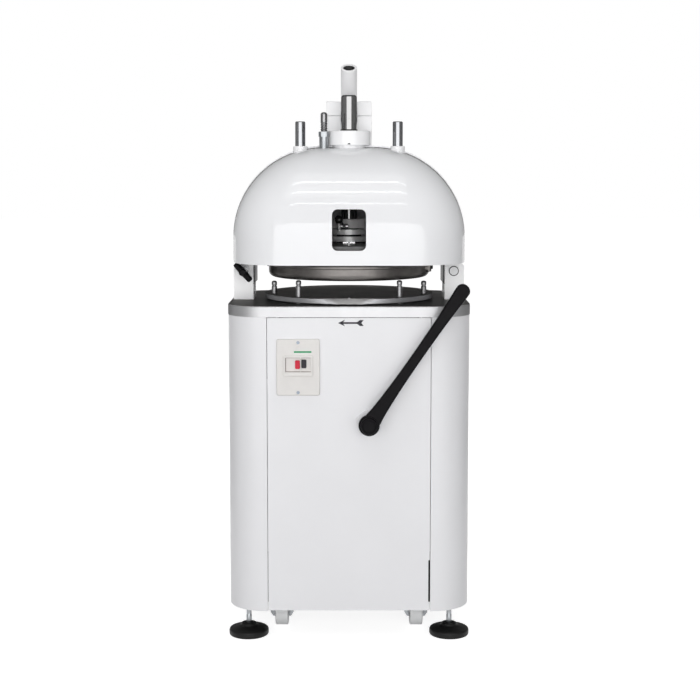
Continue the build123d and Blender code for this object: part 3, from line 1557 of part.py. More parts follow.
# Catch lever behind the window: a barrel, a bent rod and a black knob
knob_z = catch_z + catch_knob_rise
with BuildPart() as catch_lever:
    with BuildSketch(Plane(origin=place(catch_x, catch_y, catch_z), z_dir=(1, 0, 0))):
        Circle(catch_barrel_radius)
    extrude(amount=catch_barrel_half, both=True)
    with BuildLine():
        FilletPolyline(
            place(catch_x, catch_y, catch_z),
            place(catch_x, catch_y - catch_bend, catch_z),
            place(catch_knob_x, catch_knob_y + catch_bend, knob_z),
            place(catch_knob_x, catch_knob_y, knob_z),
            radius=catch_bend_radius,
        )
    with BuildSketch(Plane(origin=place(catch_x, catch_y, catch_z), z_dir=(0, -1, 0))):
        Circle(catch_rod_radius)
    sweep()
    with BuildSketch(Plane(origin=place(catch_x, catch_y, catch_z), z_dir=(1, 0, 0))):
        Circle(catch_pin_radius + running_gap)
    extrude(amount=2 * catch_barrel_half, both=True, mode=Mode.SUBTRACT)
save(catch_lever, "catch_lever")

with BuildPart() as catch_knob:
    with Locations(place(catch_knob_x, catch_knob_y, knob_z)):
        Sphere(catch_knob_radius)
    with BuildSketch(upright(catch_knob_y + 2 * catch_knob_radius)):
        with Locations((catch_knob_x, knob_z)):
            Circle(catch_rod_radius + fit_gap)
    extrude(amount=2 * catch_knob_radius + fit_gap, mode=Mode.SUBTRACT)
save(catch_knob, "catch_knob")
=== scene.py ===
"""Looks of a floor-standing dough divider rounder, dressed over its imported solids.

Sub-assemblies are sized in millimetres, and their depths count from the upright axis, negative to the front.
The studio is in metres, and colours are linear.
"""

import json
import logging
import math
from dataclasses import dataclass
from enum import Enum
from functools import cache
from typing import Sequence

import bmesh
import bpy
from bpy.types import Material, Node, Object, World
from mathutils import Matrix, Vector


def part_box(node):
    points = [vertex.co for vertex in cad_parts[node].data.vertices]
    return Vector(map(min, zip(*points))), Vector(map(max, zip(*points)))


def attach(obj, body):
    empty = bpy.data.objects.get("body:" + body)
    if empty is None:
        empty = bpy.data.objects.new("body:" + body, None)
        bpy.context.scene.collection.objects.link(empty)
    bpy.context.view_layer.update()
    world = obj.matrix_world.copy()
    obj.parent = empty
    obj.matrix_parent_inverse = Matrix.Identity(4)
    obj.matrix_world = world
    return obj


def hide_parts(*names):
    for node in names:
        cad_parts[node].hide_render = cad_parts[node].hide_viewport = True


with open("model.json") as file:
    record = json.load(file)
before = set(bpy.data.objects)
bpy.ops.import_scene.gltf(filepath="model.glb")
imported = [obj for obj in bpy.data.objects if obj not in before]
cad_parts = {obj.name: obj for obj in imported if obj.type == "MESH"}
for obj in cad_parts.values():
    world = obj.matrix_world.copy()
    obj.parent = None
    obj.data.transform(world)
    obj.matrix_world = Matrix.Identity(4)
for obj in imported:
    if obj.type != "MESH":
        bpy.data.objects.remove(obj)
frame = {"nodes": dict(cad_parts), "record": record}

LOG = logging.getLogger("dough_divider_rounder")
MM = 0.001
AXIS_Y = 0.018
OFFSET = 0.1  # keeps two faces out of one plane
MERGE_DISTANCE = 1e-6
SHARP_ANGLE = 40.0
SENSOR_WIDTH = 36.0
NOISE_LOW, NOISE_HIGH = 0.3, 0.7
UPRIGHT, LEVEL = 0.5, 0.9
COAT_ROUGHNESS = 0.05
MIX_FACTOR, MIX_FIRST, MIX_SECOND, MIX_RESULT = 0, 6, 7, 2

Colour = tuple[float, float, float]
Point = tuple[float, float, float]
Flat = tuple[float, float]
Outline = tuple[Flat, ...]

WHITE = (1.0, 1.0, 1.0)
ALONG_X = (0.04, 1.0, 1.0)
ALONG_Z = (1.0, 1.0, 0.04)


class Direction(Enum):
    """Ways that the third axis of a frame can point."""

    FRONT = (0.0, -1.0, 0.0)
    BACK = (0.0, 1.0, 0.0)
    UP = (0.0, 0.0, 1.0)


class Hand(Enum):
    """Sides of the machine, with their sign across."""

    LEFT = -1.0
    RIGHT = 1.0

    @property
    def word(self) -> str:
        """The side as it stands in the name of a piece."""
        return self.name.lower()


class Ray(Enum):
    """Kinds of rays that a light path can tell apart."""

    CAMERA = "Is Camera Ray"
    GLOSSY = "Is Glossy Ray"
    TRANSMISSION = "Is Transmission Ray"


def rgba(colour: Colour) -> tuple[float, float, float, float]:
    """Give a colour an alpha of one."""
    return (*colour, 1.0)


def grey(tone: float) -> Colour:
    """Give the grey of one tone."""
    return (tone, tone, tone)


def shade(colour: Colour, factor: float) -> Colour:
    """Scale a colour, kept below one."""
    return tuple(min(1.0, channel * factor) for channel in colour)


def tones(colour: Colour, factors: Flat) -> list[Colour]:
    """Give the two shades of a colour between which it wanders."""
    return [shade(colour, factor) for factor in factors]


def about(share: float) -> Flat:
    """Give the factors that lie a share below and above one."""
    return (1.0 - share, 1.0 + share)


@dataclass(frozen=True)
class Noise:
    """Noise that stays with a piece."""

    scale: float  # features to a metre
    detail: float
    stretch: Point = (1.0, 1.0, 1.0)


@dataclass
class NodeBoard:
    """A node tree with short ways to add and join nodes."""

    owner: Material | World

    def clear(self) -> None:
        """Empty the node tree."""
        self.owner.use_nodes = True
        self.owner.node_tree.nodes.clear()

    @classmethod
    def fresh(cls, name: str) -> "NodeBoard":
        """Make a material with a Principled shader on its output.

        Args:
            name: Name of the material.

        Returns:
            The board of the new material.
        """
        board = cls(bpy.data.materials.new(name))
        board.clear()
        shader = board.add("ShaderNodeBsdfPrincipled")
        output = board.add("ShaderNodeOutputMaterial")
        board.join(shader, "BSDF", output, "Surface")
        return board

    @property
    def shader(self) -> Node:
        """The Principled shader of the material."""
        return next(node for node in self.owner.node_tree.nodes if node.type == "BSDF_PRINCIPLED")

    def add(self, kind: str, values: dict[str | int, object] | None = None, **settings: object) -> Node:
        """Add a node.

        Args:
            kind: Blender's node type.
            values: Values of its input sockets.
            **settings: Attributes to set on it.

        Returns:
            The new node.
        """
        node = self.owner.node_tree.nodes.new(kind)
        for key, value in settings.items():
            setattr(node, key, value)
        for key, value in (values or {}).items():
            node.inputs[key].default_value = value
        return node

    def join(self, source: Node, out: str | int, target: Node, into: str | int) -> None:
        """Link one node's output to another node's input."""
        self.owner.node_tree.links.new(source.outputs[out], target.inputs[into])

    def give(self, values: dict[str, object]) -> None:
        """Set the shader's own sockets by name."""
        for key, value in values.items():
            self.shader.inputs[key].default_value = value

    def noise(self, noise: Noise) -> Node:
        """Add noise.

        Args:
            noise: What the noise is like.

        Returns:
            The noise node.
        """
        source = self.add("ShaderNodeTexCoord")
        mapping = self.add("ShaderNodeMapping", {"Scale": noise.stretch})
        node = self.add("ShaderNodeTexNoise", {"Scale": noise.scale, "Detail": noise.detail})
        self.join(source, "Object", mapping, "Vector")
        self.join(mapping, "Vector", node, "Vector")
        return node

    def ramp(self, noise: Noise, low: Colour, high: Colour) -> Node:
        """Turn noise into a colour between two others.

        Args:
            noise: The noise.
            low: Colour of its low places.
            high: Colour of its high places.

        Returns:
            The ramp node.
        """
        ramp = self.add("ShaderNodeValToRGB")
        ends = ((NOISE_LOW, low), (NOISE_HIGH, high))
        for step, (place, colour) in zip(ramp.color_ramp.elements, ends):
            step.position = place
            step.color = rgba(colour)
        self.join(self.noise(noise), "Fac", ramp, "Fac")
        return ramp

    def tint(self, noise: Noise, low: Colour, high: Colour) -> None:
        """Let the shader's colour wander between two others."""
        self.join(self.ramp(noise, low, high), "Color", self.shader, "Base Color")

    def roughen(self, noise: Noise, least: float, most: float) -> None:
        """Let the shader's roughness wander.

        Args:
            noise: The noise that it follows.
            least: Roughness of the noise's low places.
            most: Roughness of its high places.
        """
        span = {"From Min": NOISE_LOW, "From Max": NOISE_HIGH, "To Min": least, "To Max": most}
        spread = self.add("ShaderNodeMapRange", span)
        self.join(self.noise(noise), "Fac", spread, "Value")
        self.join(spread, "Result", self.shader, "Roughness")

    def bump(self, noise: Noise, strength: float, distance: float) -> None:
        """Raise the surface by noise.

        Args:
            noise: The noise that gives the height.
            strength: Share of the effect.
            distance: Height of the relief in metres.
        """
        bump = self.add("ShaderNodeBump", {"Strength": strength, "Distance": distance})
        self.join(self.noise(noise), "Fac", bump, "Height")
        self.join(bump, "Normal", self.shader, "Normal")

    def rise(self, kind: str, out: str, low: float, high: float) -> Node:
        """Map the upright part of a vector onto nothing to one.

        Args:
            kind: Type of the node that gives the vector.
            out: Name of its output.
            low: Value that becomes nothing.
            high: Value that becomes one.

        Returns:
            The map range node.
        """
        parts = self.add("ShaderNodeSeparateXYZ")
        share = self.add("ShaderNodeMapRange", {"From Min": low, "From Max": high})
        self.join(self.add(kind), out, parts, "Vector")
        self.join(parts, "Z", share, "Value")
        return share

    def seen(self, *rays: Ray) -> Node:
        """Give one to some kinds of rays and nothing to the others.

        Args:
            *rays: Two or more kinds of rays.

        Returns:
            The math node that gives it.
        """
        path = self.add("ShaderNodeLightPath")
        result, out = path, rays[0].value
        for ray in rays[1:]:
            larger = self.add("ShaderNodeMath", operation="MAXIMUM")
            self.join(result, out, larger, 0)
            self.join(path, ray.value, larger, 1)
            result, out = larger, "Value"
        return result


@dataclass(frozen=True)
class Finish:
    """A surface whose colour, roughness and relief each follow noise."""

    name: str
    colour: Colour
    roughness: float
    depth: float = 0.0  # strength of the relief
    wander: Flat = about(0.02)  # factors of the colour in the low and high places of its noise
    swing: Flat = about(0.12)  # factors of the roughness, likewise
    clouds: Noise = Noise(35.0, 4.0)  # noise of the colour
    streaks: Noise = Noise(35.0, 4.0)  # noise of the roughness
    relief: Noise = Noise(1400.0, 3.0)
    height: float = 0.0001  # of the relief, in metres
    metallic: float = 0.0
    shine: float = 0.5
    # A tint below white dims glancing reflections, which paints shade on them.
    edge: Colour = WHITE  # tint at a low angle
    coat: float = 0.0

    def make(self) -> Material:
        """Build the material.

        Returns:
            The new material.
        """
        board = NodeBoard.fresh(self.name)
        self.tint(board)
        self.roughen(board)
        if self.depth:
            board.bump(self.relief, self.depth, self.height)
        board.give({"Metallic": self.metallic, "Specular IOR Level": self.shine})
        board.give({"Specular Tint": rgba(self.edge)})
        board.give({"Coat Weight": self.coat, "Coat Roughness": COAT_ROUGHNESS})
        return board.owner

    def tint(self, board: NodeBoard) -> None:
        """Set the colour of a material."""
        board.tint(self.clouds, *tones(self.colour, self.wander))

    def roughen(self, board: NodeBoard) -> None:
        """Set the roughness of a material."""
        board.roughen(self.streaks, *(self.roughness * factor for factor in self.swing))


@dataclass(frozen=True)
class PaintFinish(Finish):
    """Sprayed paint with a faint orange peel and soft mottling."""

    depth: float = 0.06
    clouds: Noise = Noise(7.0, 4.0)
    streaks: Noise = Noise(22.0, 5.0, (1.0, 1.0, 0.35))
    relief: Noise = Noise(900.0, 2.0)
    height: float = 0.0002


@dataclass(frozen=True)
class MetalFinish(Finish):
    """Bare metal with a grain across."""

    depth: float = 0.12
    wander: Flat = about(0.06)
    swing: Flat = about(0.25)
    clouds: Noise = Noise(18.0, 5.0)
    streaks: Noise = Noise(650.0, 3.0, ALONG_X)
    relief: Noise = Noise(650.0, 3.0, ALONG_X)
    metallic: float = 1.0


@dataclass(frozen=True)
class UprightMetalFinish(MetalFinish):
    """Bare metal with an upright grain."""

    streaks: Noise = Noise(650.0, 3.0, ALONG_Z)
    relief: Noise = Noise(650.0, 3.0, ALONG_Z)


@dataclass(frozen=True)
class ChromeFinish(Finish):
    """Polished plating with faint smears and no relief."""

    wander: Flat = (0.97, 1.02)
    swing: Flat = (0.6, 1.6)
    clouds: Noise = Noise(60.0, 4.0, (1.0, 1.0, 0.3))
    streaks: Noise = Noise(60.0, 4.0, (1.0, 1.0, 0.3))
    metallic: float = 1.0
    # Near-black glancing tint darkens the flanks of polished pieces: painted shade.
    edge: Colour = (0.08, 0.08, 0.085)


@dataclass(frozen=True)
class CastFinish(Finish):
    """Fine-cast dark metal with a pebbled skin, its colour wandering at random to a paler one."""

    depth: float = 0.25
    swing: Flat = about(0.2)
    clouds: Noise = Noise(30.0, 4.0)
    streaks: Noise = Noise(700.0, 4.0)
    relief: Noise = Noise(700.0, 4.0)
    height: float = 0.0003
    metallic: float = 0.8
    pale: Colour = WHITE

    def tint(self, board: NodeBoard) -> None:
        """Set the colour of a material."""
        board.tint(self.clouds, self.colour, self.pale)


@dataclass(frozen=True)
class MouldedFinish(Finish):
    """Moulded plastic or rubber with a fine spark texture."""

    depth: float = 0.15
    height: float = 0.00015


@dataclass(frozen=True)
class PlateFinish(Finish):
    """A thick plate with ground edges and an upper face of its own."""

    depth: float = 0.06
    wander: Flat = (0.96, 1.03)
    clouds: Noise = Noise(16.0, 5.0)
    relief: Noise = Noise(600.0, 3.0, ALONG_X)
    metallic: float = 1.0
    top: Colour = WHITE
    top_wander: Flat = about(0.15)
    top_rough: float = 0.3

    def tint(self, board: NodeBoard) -> None:
        """Set the colours of the edges and of the upper face.

        Args:
            board: Board of the material.
        """
        mix = board.add("ShaderNodeMix", data_type="RGBA")
        edges = board.ramp(self.clouds, *tones(self.colour, self.wander))
        top = board.ramp(self.clouds, *tones(self.top, self.top_wander))
        board.join(board.rise("ShaderNodeNewGeometry", "Normal", UPRIGHT, LEVEL), "Result", mix, MIX_FACTOR)
        board.join(edges, "Color", mix, MIX_FIRST)
        board.join(top, "Color", mix, MIX_SECOND)
        board.join(mix, MIX_RESULT, board.shader, "Base Color")

    def roughen(self, board: NodeBoard) -> None:
        """Set the roughness of the edges and of the upper face.

        Args:
            board: Board of the material.
        """
        rough = board.add("ShaderNodeMapRange", {"To Min": self.roughness, "To Max": self.top_rough})
        board.join(board.rise("ShaderNodeNewGeometry", "Normal", UPRIGHT, LEVEL), "Result", rough, "Value")
        board.join(rough, "Result", board.shader, "Roughness")


@dataclass(frozen=True)
class BandedFinish(Finish):
    """A stack of turned steps, each with its own share of the metal's colour, which paints light and shade
    on the steps.
    """

    depth: float = 0.02
    swing: Flat = about(0.2)
    streaks: Noise = Noise(90.0, 4.0)
    relief: Noise = Noise(90.0, 4.0)
    metallic: float = 1.0
    low: float = 0.0  # height of the stack's foot in millimetres
    high: float = 1.0
    bands: Outline = ()  # start height and share of each step

    def tint(self, board: NodeBoard) -> None:
        """Set the colour of each step.

        Args:
            board: Board of the material.
        """
        ramp = board.add("ShaderNodeValToRGB")
        ramp.color_ramp.interpolation = "CONSTANT"
        steps = ramp.color_ramp.elements
        ready = len(steps)
        for index, (start, share) in enumerate(self.bands):
            place = (start - self.low) / (self.high - self.low)
            step = steps[index] if index < ready else steps.new(place)
            step.position = place
            step.color = rgba(shade(self.colour, share))
        height = board.rise("ShaderNodeTexCoord", "Object", self.low * MM, self.high * MM)
        board.join(height, "Result", ramp, "Fac")
        board.join(ramp, "Color", board.shader, "Base Color")


CABINET_WHITE = (0.85, 0.85, 0.87)
BRIGHT_STEEL = (0.55, 0.56, 0.57)

FINISHES: dict[str, Finish] = {
    "inner_frame": PaintFinish("frame_dark_paint", (0.026, 0.026, 0.028), 0.4),
    "cabinet_paint": PaintFinish("cabinet_white_paint", CABINET_WHITE, 0.36, 0.05, about(0.012)),
    # The plate's and the table's near-black glancing tints are painted shade on their upper faces, seen at a
    # low angle under the hood.
    "silver_plate": PlateFinish(
        "silver_top_metal", (0.54, 0.54, 0.55), 0.50,
        edge=(0.08, 0.0768, 0.076), top=(0.58, 0.578, 0.575), top_rough=0.28,
    ),
    "zinc": UprightMetalFinish("zinc_plating", (0.34, 0.355, 0.37), 0.34, 0.1),
    "switch_grey": MouldedFinish("switch_cream_plastic", (0.78, 0.76, 0.74), 0.42, 0.08),
    "steel": MetalFinish("machined_steel", (0.46, 0.46, 0.47), 0.26),
    "motor_paint": PaintFinish("motor_enamel", (0.08, 0.11, 0.15), 0.4, 0.1),
    "belt_rubber": MouldedFinish("belt_black_rubber", grey(0.018), 0.7, 0.3),
    "head_paint": PaintFinish("head_gloss_paint", (0.96, 0.96, 0.97), 0.22, 0.05, about(0.01), coat=0.1),
    "gland_black": MouldedFinish("gland_black_nylon", grey(0.02), 0.45),
    "foot_rubber": MouldedFinish("foot_black_rubber", grey(0.006), 0.5, 0.3, shine=0.25),
    "wheel_nylon": MouldedFinish("wheel_pale_nylon", (0.93, 0.94, 0.945), 0.5, 0.2),
    "stop_red": MouldedFinish("stop_red_plastic", (0.62, 0.010, 0.040), 0.3, 0.05, shine=0.3),
    "start_black": MouldedFinish("start_black_plastic", (0.010, 0.009, 0.016), 0.32, 0.05, shine=0.3),
    "lever_black": MouldedFinish("lever_black_coat", (0.006, 0.0055, 0.0065), 0.46, 0.2, shine=0.08),
    "pulley_iron": CastFinish("pulley_cast_iron", grey(0.08), 0.5, pale=grey(0.14)),
    "table_metal": PlateFinish(
        "table_turned_metal", (0.50, 0.505, 0.52), 0.46,
        edge=(0.1, 0.096, 0.095), top=(0.50, 0.495, 0.49), top_rough=0.34,
    ),
    "chrome": ChromeFinish("polished_chrome", (0.30, 0.305, 0.315), 0.1),
    # Black rubber of the seals, also worn as painted shade in the lever socket and round the hinge pin.
    "seal_rubber": MouldedFinish("seal_black_rubber", grey(0.015), 0.6),
    "hood_white": PaintFinish("hood_gloss_white", (0.905, 0.91, 0.928), 0.06, 0.004, about(0.006)),
    "ring_cast": CastFinish(
        "ring_dark_cast", (0.135, 0.126, 0.121), 0.36, metallic=0.9, pale=(0.18, 0.17, 0.162)
    ),
    "segment_metal": MetalFinish("segment_machined_metal", BRIGHT_STEEL, 0.35),
    "knife_steel": UprightMetalFinish("knife_ground_steel", BRIGHT_STEEL, 0.25),
    "knob_black": MouldedFinish("knob_black_gloss", grey(0.012), 0.18, 0.03),
}

# Shares of the hub's steps paint light and shade: the flange and the ring pale as painted light, the necks
# between steps near black and the plate dark as painted shade.
HUB_LIGHT_AND_SHADE_STEPS = ((976.0, 0.12), (989.5, 1.0), (1003.0, 0.02), (1008.0, 0.95), (1021.0, 0.02), (1024.0, 0.4))
# The press rod's foot inside the hood is darker than its top: painted shade.
ROD_SHADE_STEPS = ((976.0, 0.16), (1180.0, 0.27))
# The posts' white, paler than the head's, lifts them out of the hood's shade: painted light.
POST_LIT_WHITE = PaintFinish("post_white_paint", (0.98, 0.98, 0.985), 0.3, 0.04, about(0.008))

NODE_FINISHES: dict[str, Finish] = {
    # Pale colour on the hinge pin's polished end: painted reflection of the white surroundings.
    "hinge_pin": PaintFinish("hinge_pin_pale_paint", (0.84, 0.84, 0.85), 0.3),
    "left_post": POST_LIT_WHITE,
    "right_post": POST_LIT_WHITE,
    "carriage_plate": BandedFinish(
        "hub_turned_steps", WHITE, 0.48,
        metallic=0.5, edge=grey(0.6), low=976.0, high=1050.0, bands=HUB_LIGHT_AND_SHADE_STEPS,
    ),
    # Press rod: its dark glancing tint is painted shade on the rod's flanks.
    "press_rod": BandedFinish(
        "rod_chrome_with_oiled_foot", WHITE, 0.09, edge=grey(0.08), low=976.0, high=1400.0, bands=ROD_SHADE_STEPS
    ),
    "plate_pins": UprightMetalFinish("pin_turned_steel", (0.26, 0.26, 0.265), 0.34),
    "switch_screws": MetalFinish("switch_screw_zinc", (0.26, 0.29, 0.33), 0.4),
    "lever_bush": PaintFinish("bush_white_paint", CABINET_WHITE, 0.36, 0.05, about(0.012)),
}

STRIPE_GREEN = MouldedFinish("stripe_green", (0.003, 0.33, 0.13), 0.5, 0.05, shine=0.1)
# Dark taupe of the painted shade along the switch window's edges.
WINDOW_PAINTED_SHADE = MouldedFinish("switch_window_shade", (0.30, 0.245, 0.235), 0.5, 0.05)
THREAD_STEEL = ChromeFinish("stop_thread_oiled_steel", (0.24, 0.24, 0.245), 0.2)
WASHER_STEEL = MetalFinish("washer_dull_steel", (0.30, 0.30, 0.31), 0.4)
# Dark of the painted shadow in the gap between the head's shells.
GAP_SHADOW_DARK = MouldedFinish("shell_seal_rubber", (0.10, 0.092, 0.09), 0.6, 0.1)
HUB_HEAD_METAL = PaintFinish("hub_head_grey_metal", (0.58, 0.565, 0.57), 0.5)
HUB_PALE_STEEL = MetalFinish("hub_pale_steel", (0.90, 0.90, 0.91), 0.2)


@cache
def material_of(finish: Finish) -> Material:
    """Give the material of a finish, made on first use."""
    return finish.make()


def dress_solids() -> None:
    """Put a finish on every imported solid, its own or that of its slot."""
    for part in frame["record"]["subparts"]:
        solid = frame["nodes"][part["node"]]
        material = material_of(NODE_FINISHES.get(part["node"], FINISHES[part["material_slot"]]))
        if not solid.material_slots:
            solid.data.materials.append(material)
        for place in solid.material_slots:
            place.material = material
        LOG.info("%s wears %s", part["node"], material.name)


def dress(piece: Object, slot: str, body: str, replaced: str = "", own: Finish | None = None) -> None:
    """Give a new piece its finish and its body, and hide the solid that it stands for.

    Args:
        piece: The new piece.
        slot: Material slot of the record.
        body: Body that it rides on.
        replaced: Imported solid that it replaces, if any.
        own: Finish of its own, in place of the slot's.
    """
    piece.data.materials.append(material_of(own or FINISHES[slot]))
    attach(piece, body)
    if replaced:
        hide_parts(replaced)
    LOG.info("%s rides on %s", piece.name, body)


def around(centre: Flat, radius: float, turn: float) -> Flat:
    """Give the point at a radius and an angle in degrees from a centre."""
    angle = math.radians(turn)
    return (centre[0] + radius * math.cos(angle), centre[1] + radius * math.sin(angle))


def arc(centre: Flat, radius: float, start: float, end: float, steps: int) -> list[Flat]:
    """Give points along an arc, with angles in degrees."""
    return [around(centre, radius, start + (end - start) * step / steps) for step in range(steps + 1)]


def rectangle(left: float, right: float, low: float, high: float) -> list[Flat]:
    """Give the corners of a rectangle."""
    return [(left, low), (right, low), (right, high), (left, high)]


def flipped(points: Sequence[Flat]) -> list[Flat]:
    """Mirror points over their first axis and turn their order round."""
    return [(first, -second) for first, second in reversed(points)]


def smooth_line(knots: Sequence[Flat], steps: int) -> list[Flat]:
    """Run a smooth line through knots.

    Args:
        knots: Points that the line passes.
        steps: Points to a span.

    Returns:
        Points of the line.
    """
    painted_shade: list[Flat] = []
    last = len(knots) - 1
    for index in range(last):
        before = Vector(knots[max(index - 1, 0)])
        start = Vector(knots[index])
        end = Vector(knots[index + 1])
        after = Vector(knots[min(index + 2, last)])
        for step in range(steps):
            share = step / steps
            spot = 0.5 * (
                2 * start
                + (end - before) * share
                + (2 * before - 5 * start + 4 * end - after) * share ** 2
                + (3 * start - before - 3 * end + after) * share ** 3
            )
            painted_shade.append((spot.x, spot.y))
    painted_shade.append(tuple(knots[last]))
    return painted_shade


def place_at(x: float, depth: float, z: float) -> Point:
    """Turn a place in millimetres, with its depth from the upright axis, into metres."""
    return (x * MM, AXIS_Y + depth * MM, z * MM)


def polar(radius: float, angle: float, height: float) -> Vector:
    """Turn a radius, an angle and a height in millimetres into a point in metres."""
    return Vector((radius * math.cos(angle), radius * math.sin(angle), height)) * MM


def aim_frame(origin: Point, along: Point, side: Point = (1.0, 0.0, 0.0)) -> Matrix:
    """Build a frame whose third axis points along a direction.

    Args:
        origin: Origin of the frame in metres.
        along: Direction of the third axis.
        side: Rough direction of the first axis.

    Returns:
        The frame as a matrix.
    """
    third = Vector(along).normalized()
    first = Vector(side) - third * Vector(side).dot(third)
    first.normalize()
    turn = Matrix((first, third.cross(first), third)).transposed().to_4x4()
    return Matrix.Translation(Vector(origin)) @ turn


def front_frame(x: float, depth: float, z: float) -> Matrix:
    """Build a frame on an upright face, with X across, Z up and its third axis to the front."""
    return aim_frame(place_at(x, depth, z), Direction.FRONT.value)


def upright_frame(x: float, depth: float, z: float) -> Matrix:
    """Build a frame that stands up at a place."""
    return aim_frame(place_at(x, depth, z), Direction.UP.value)


def new_piece(name: str, points: Sequence[Vector], faces: Sequence[tuple[int, ...]], smooth: bool) -> Object:
    """Make a closed piece with its faces turned outwards.

    Args:
        name: Name of the piece.
        points: Its points in metres. Doubled ones are merged.
        faces: Its faces. Open ends are closed.
        smooth: Whether its faces are shaded smooth.

    Returns:
        The new piece.
    """
    mesh = bpy.data.meshes.new(name)
    mesh.from_pydata(points, [], faces)
    shape = bmesh.new()
    shape.from_mesh(mesh)
    bmesh.ops.remove_doubles(shape, verts=shape.verts, dist=MERGE_DISTANCE)
    bmesh.ops.holes_fill(shape, edges=shape.edges, sides=0)
    bmesh.ops.recalc_face_normals(shape, faces=shape.faces)
    shape.to_mesh(mesh)
    shape.free()
    for polygon in mesh.polygons:
        polygon.use_smooth = smooth
    piece = bpy.data.objects.new(name, mesh)
    bpy.context.scene.collection.objects.link(piece)
    return piece


def skin(name: str, points: Sequence[Vector], steps: int) -> Object:
    """Stretch a smooth skin over rings of points.

    Args:
        name: Name of the piece.
        points: Points of all rings in metres, one ring after another.
        steps: Points to a ring.

    Returns:
        The new piece.
    """
    faces: list[tuple[int, ...]] = []
    for low in range(0, len(points) - steps, steps):
        high = low + steps
        for step in range(steps):
            after = (step + 1) % steps
            faces.append((low + step, low + after, high + after, high + step))
    return new_piece(name, points, faces, smooth=True)


def lathe(name: str, profile: Sequence[Flat], place: Matrix, steps: int) -> Object:
    """Turn a profile about the third axis of a frame.

    Args:
        name: Name of the piece.
        profile: Points of radius and height, from one end of the axis to the other.
        place: Frame of the piece.
        steps: Number of facets round the axis.

    Returns:
        The turned piece.
    """
    angles = [math.tau * step / steps for step in range(steps)]
    points = [place @ polar(radius, angle, height) for radius, height in profile for angle in angles]
    return skin(name, points, steps)


def prism(name: str, outline: Sequence[Flat], depth: float, place: Matrix) -> Object:
    """Raise a flat outline along the third axis of a frame.

    Args:
        name: Name of the piece.
        outline: Its corners.
        depth: Its height.
        place: Frame of the piece.

    Returns:
        The raised piece.
    """
    count = len(outline)
    points = [place @ (Vector((x, y, z)) * MM) for z in (0.0, depth) for x, y in outline]
    faces: list[tuple[int, ...]] = [tuple(range(count)), tuple(range(count, 2 * count))]
    for step in range(count):
        after = (step + 1) % count
        faces.append((step, after, after + count, step + count))
    return new_piece(name, points, faces, smooth=False)


def round_edges(piece: Object, width: float, segments: int) -> Object:
    """Round the sharp edges of a piece.

    Args:
        piece: The piece.
        width: Width of the round.
        segments: Facets of the round.

    Returns:
        The same piece.
    """
    bevel = piece.modifiers.new("rounded_edges", "BEVEL")
    bevel.width = width * MM
    bevel.segments = segments
    bevel.limit_method = "ANGLE"
    bevel.angle_limit = math.radians(SHARP_ANGLE)
    bevel.harden_normals = True
    for polygon in piece.data.polygons:
        polygon.use_smooth = True
    return piece


@dataclass(frozen=True)
class SoftBox:
    """A flat lamp."""

    name: str
    place: Point
    target: Point
    size: Flat
    power: float
    glossy: bool = True  # whether it shows in shiny faces

    def hang(self) -> None:
        """Add the lamp to the scene."""
        data = bpy.data.lights.new(self.name, "AREA")
        data.shape = "RECTANGLE"
        data.size, data.size_y = self.size
        data.energy = self.power
        lamp = bpy.data.objects.new(self.name, data)
        lamp.location = self.place
        aim = Vector(self.target) - Vector(self.place)
        lamp.rotation_euler = aim.to_track_quat("-Z", "Y").to_euler()
        lamp.visible_glossy = self.glossy
        bpy.context.scene.collection.objects.link(lamp)


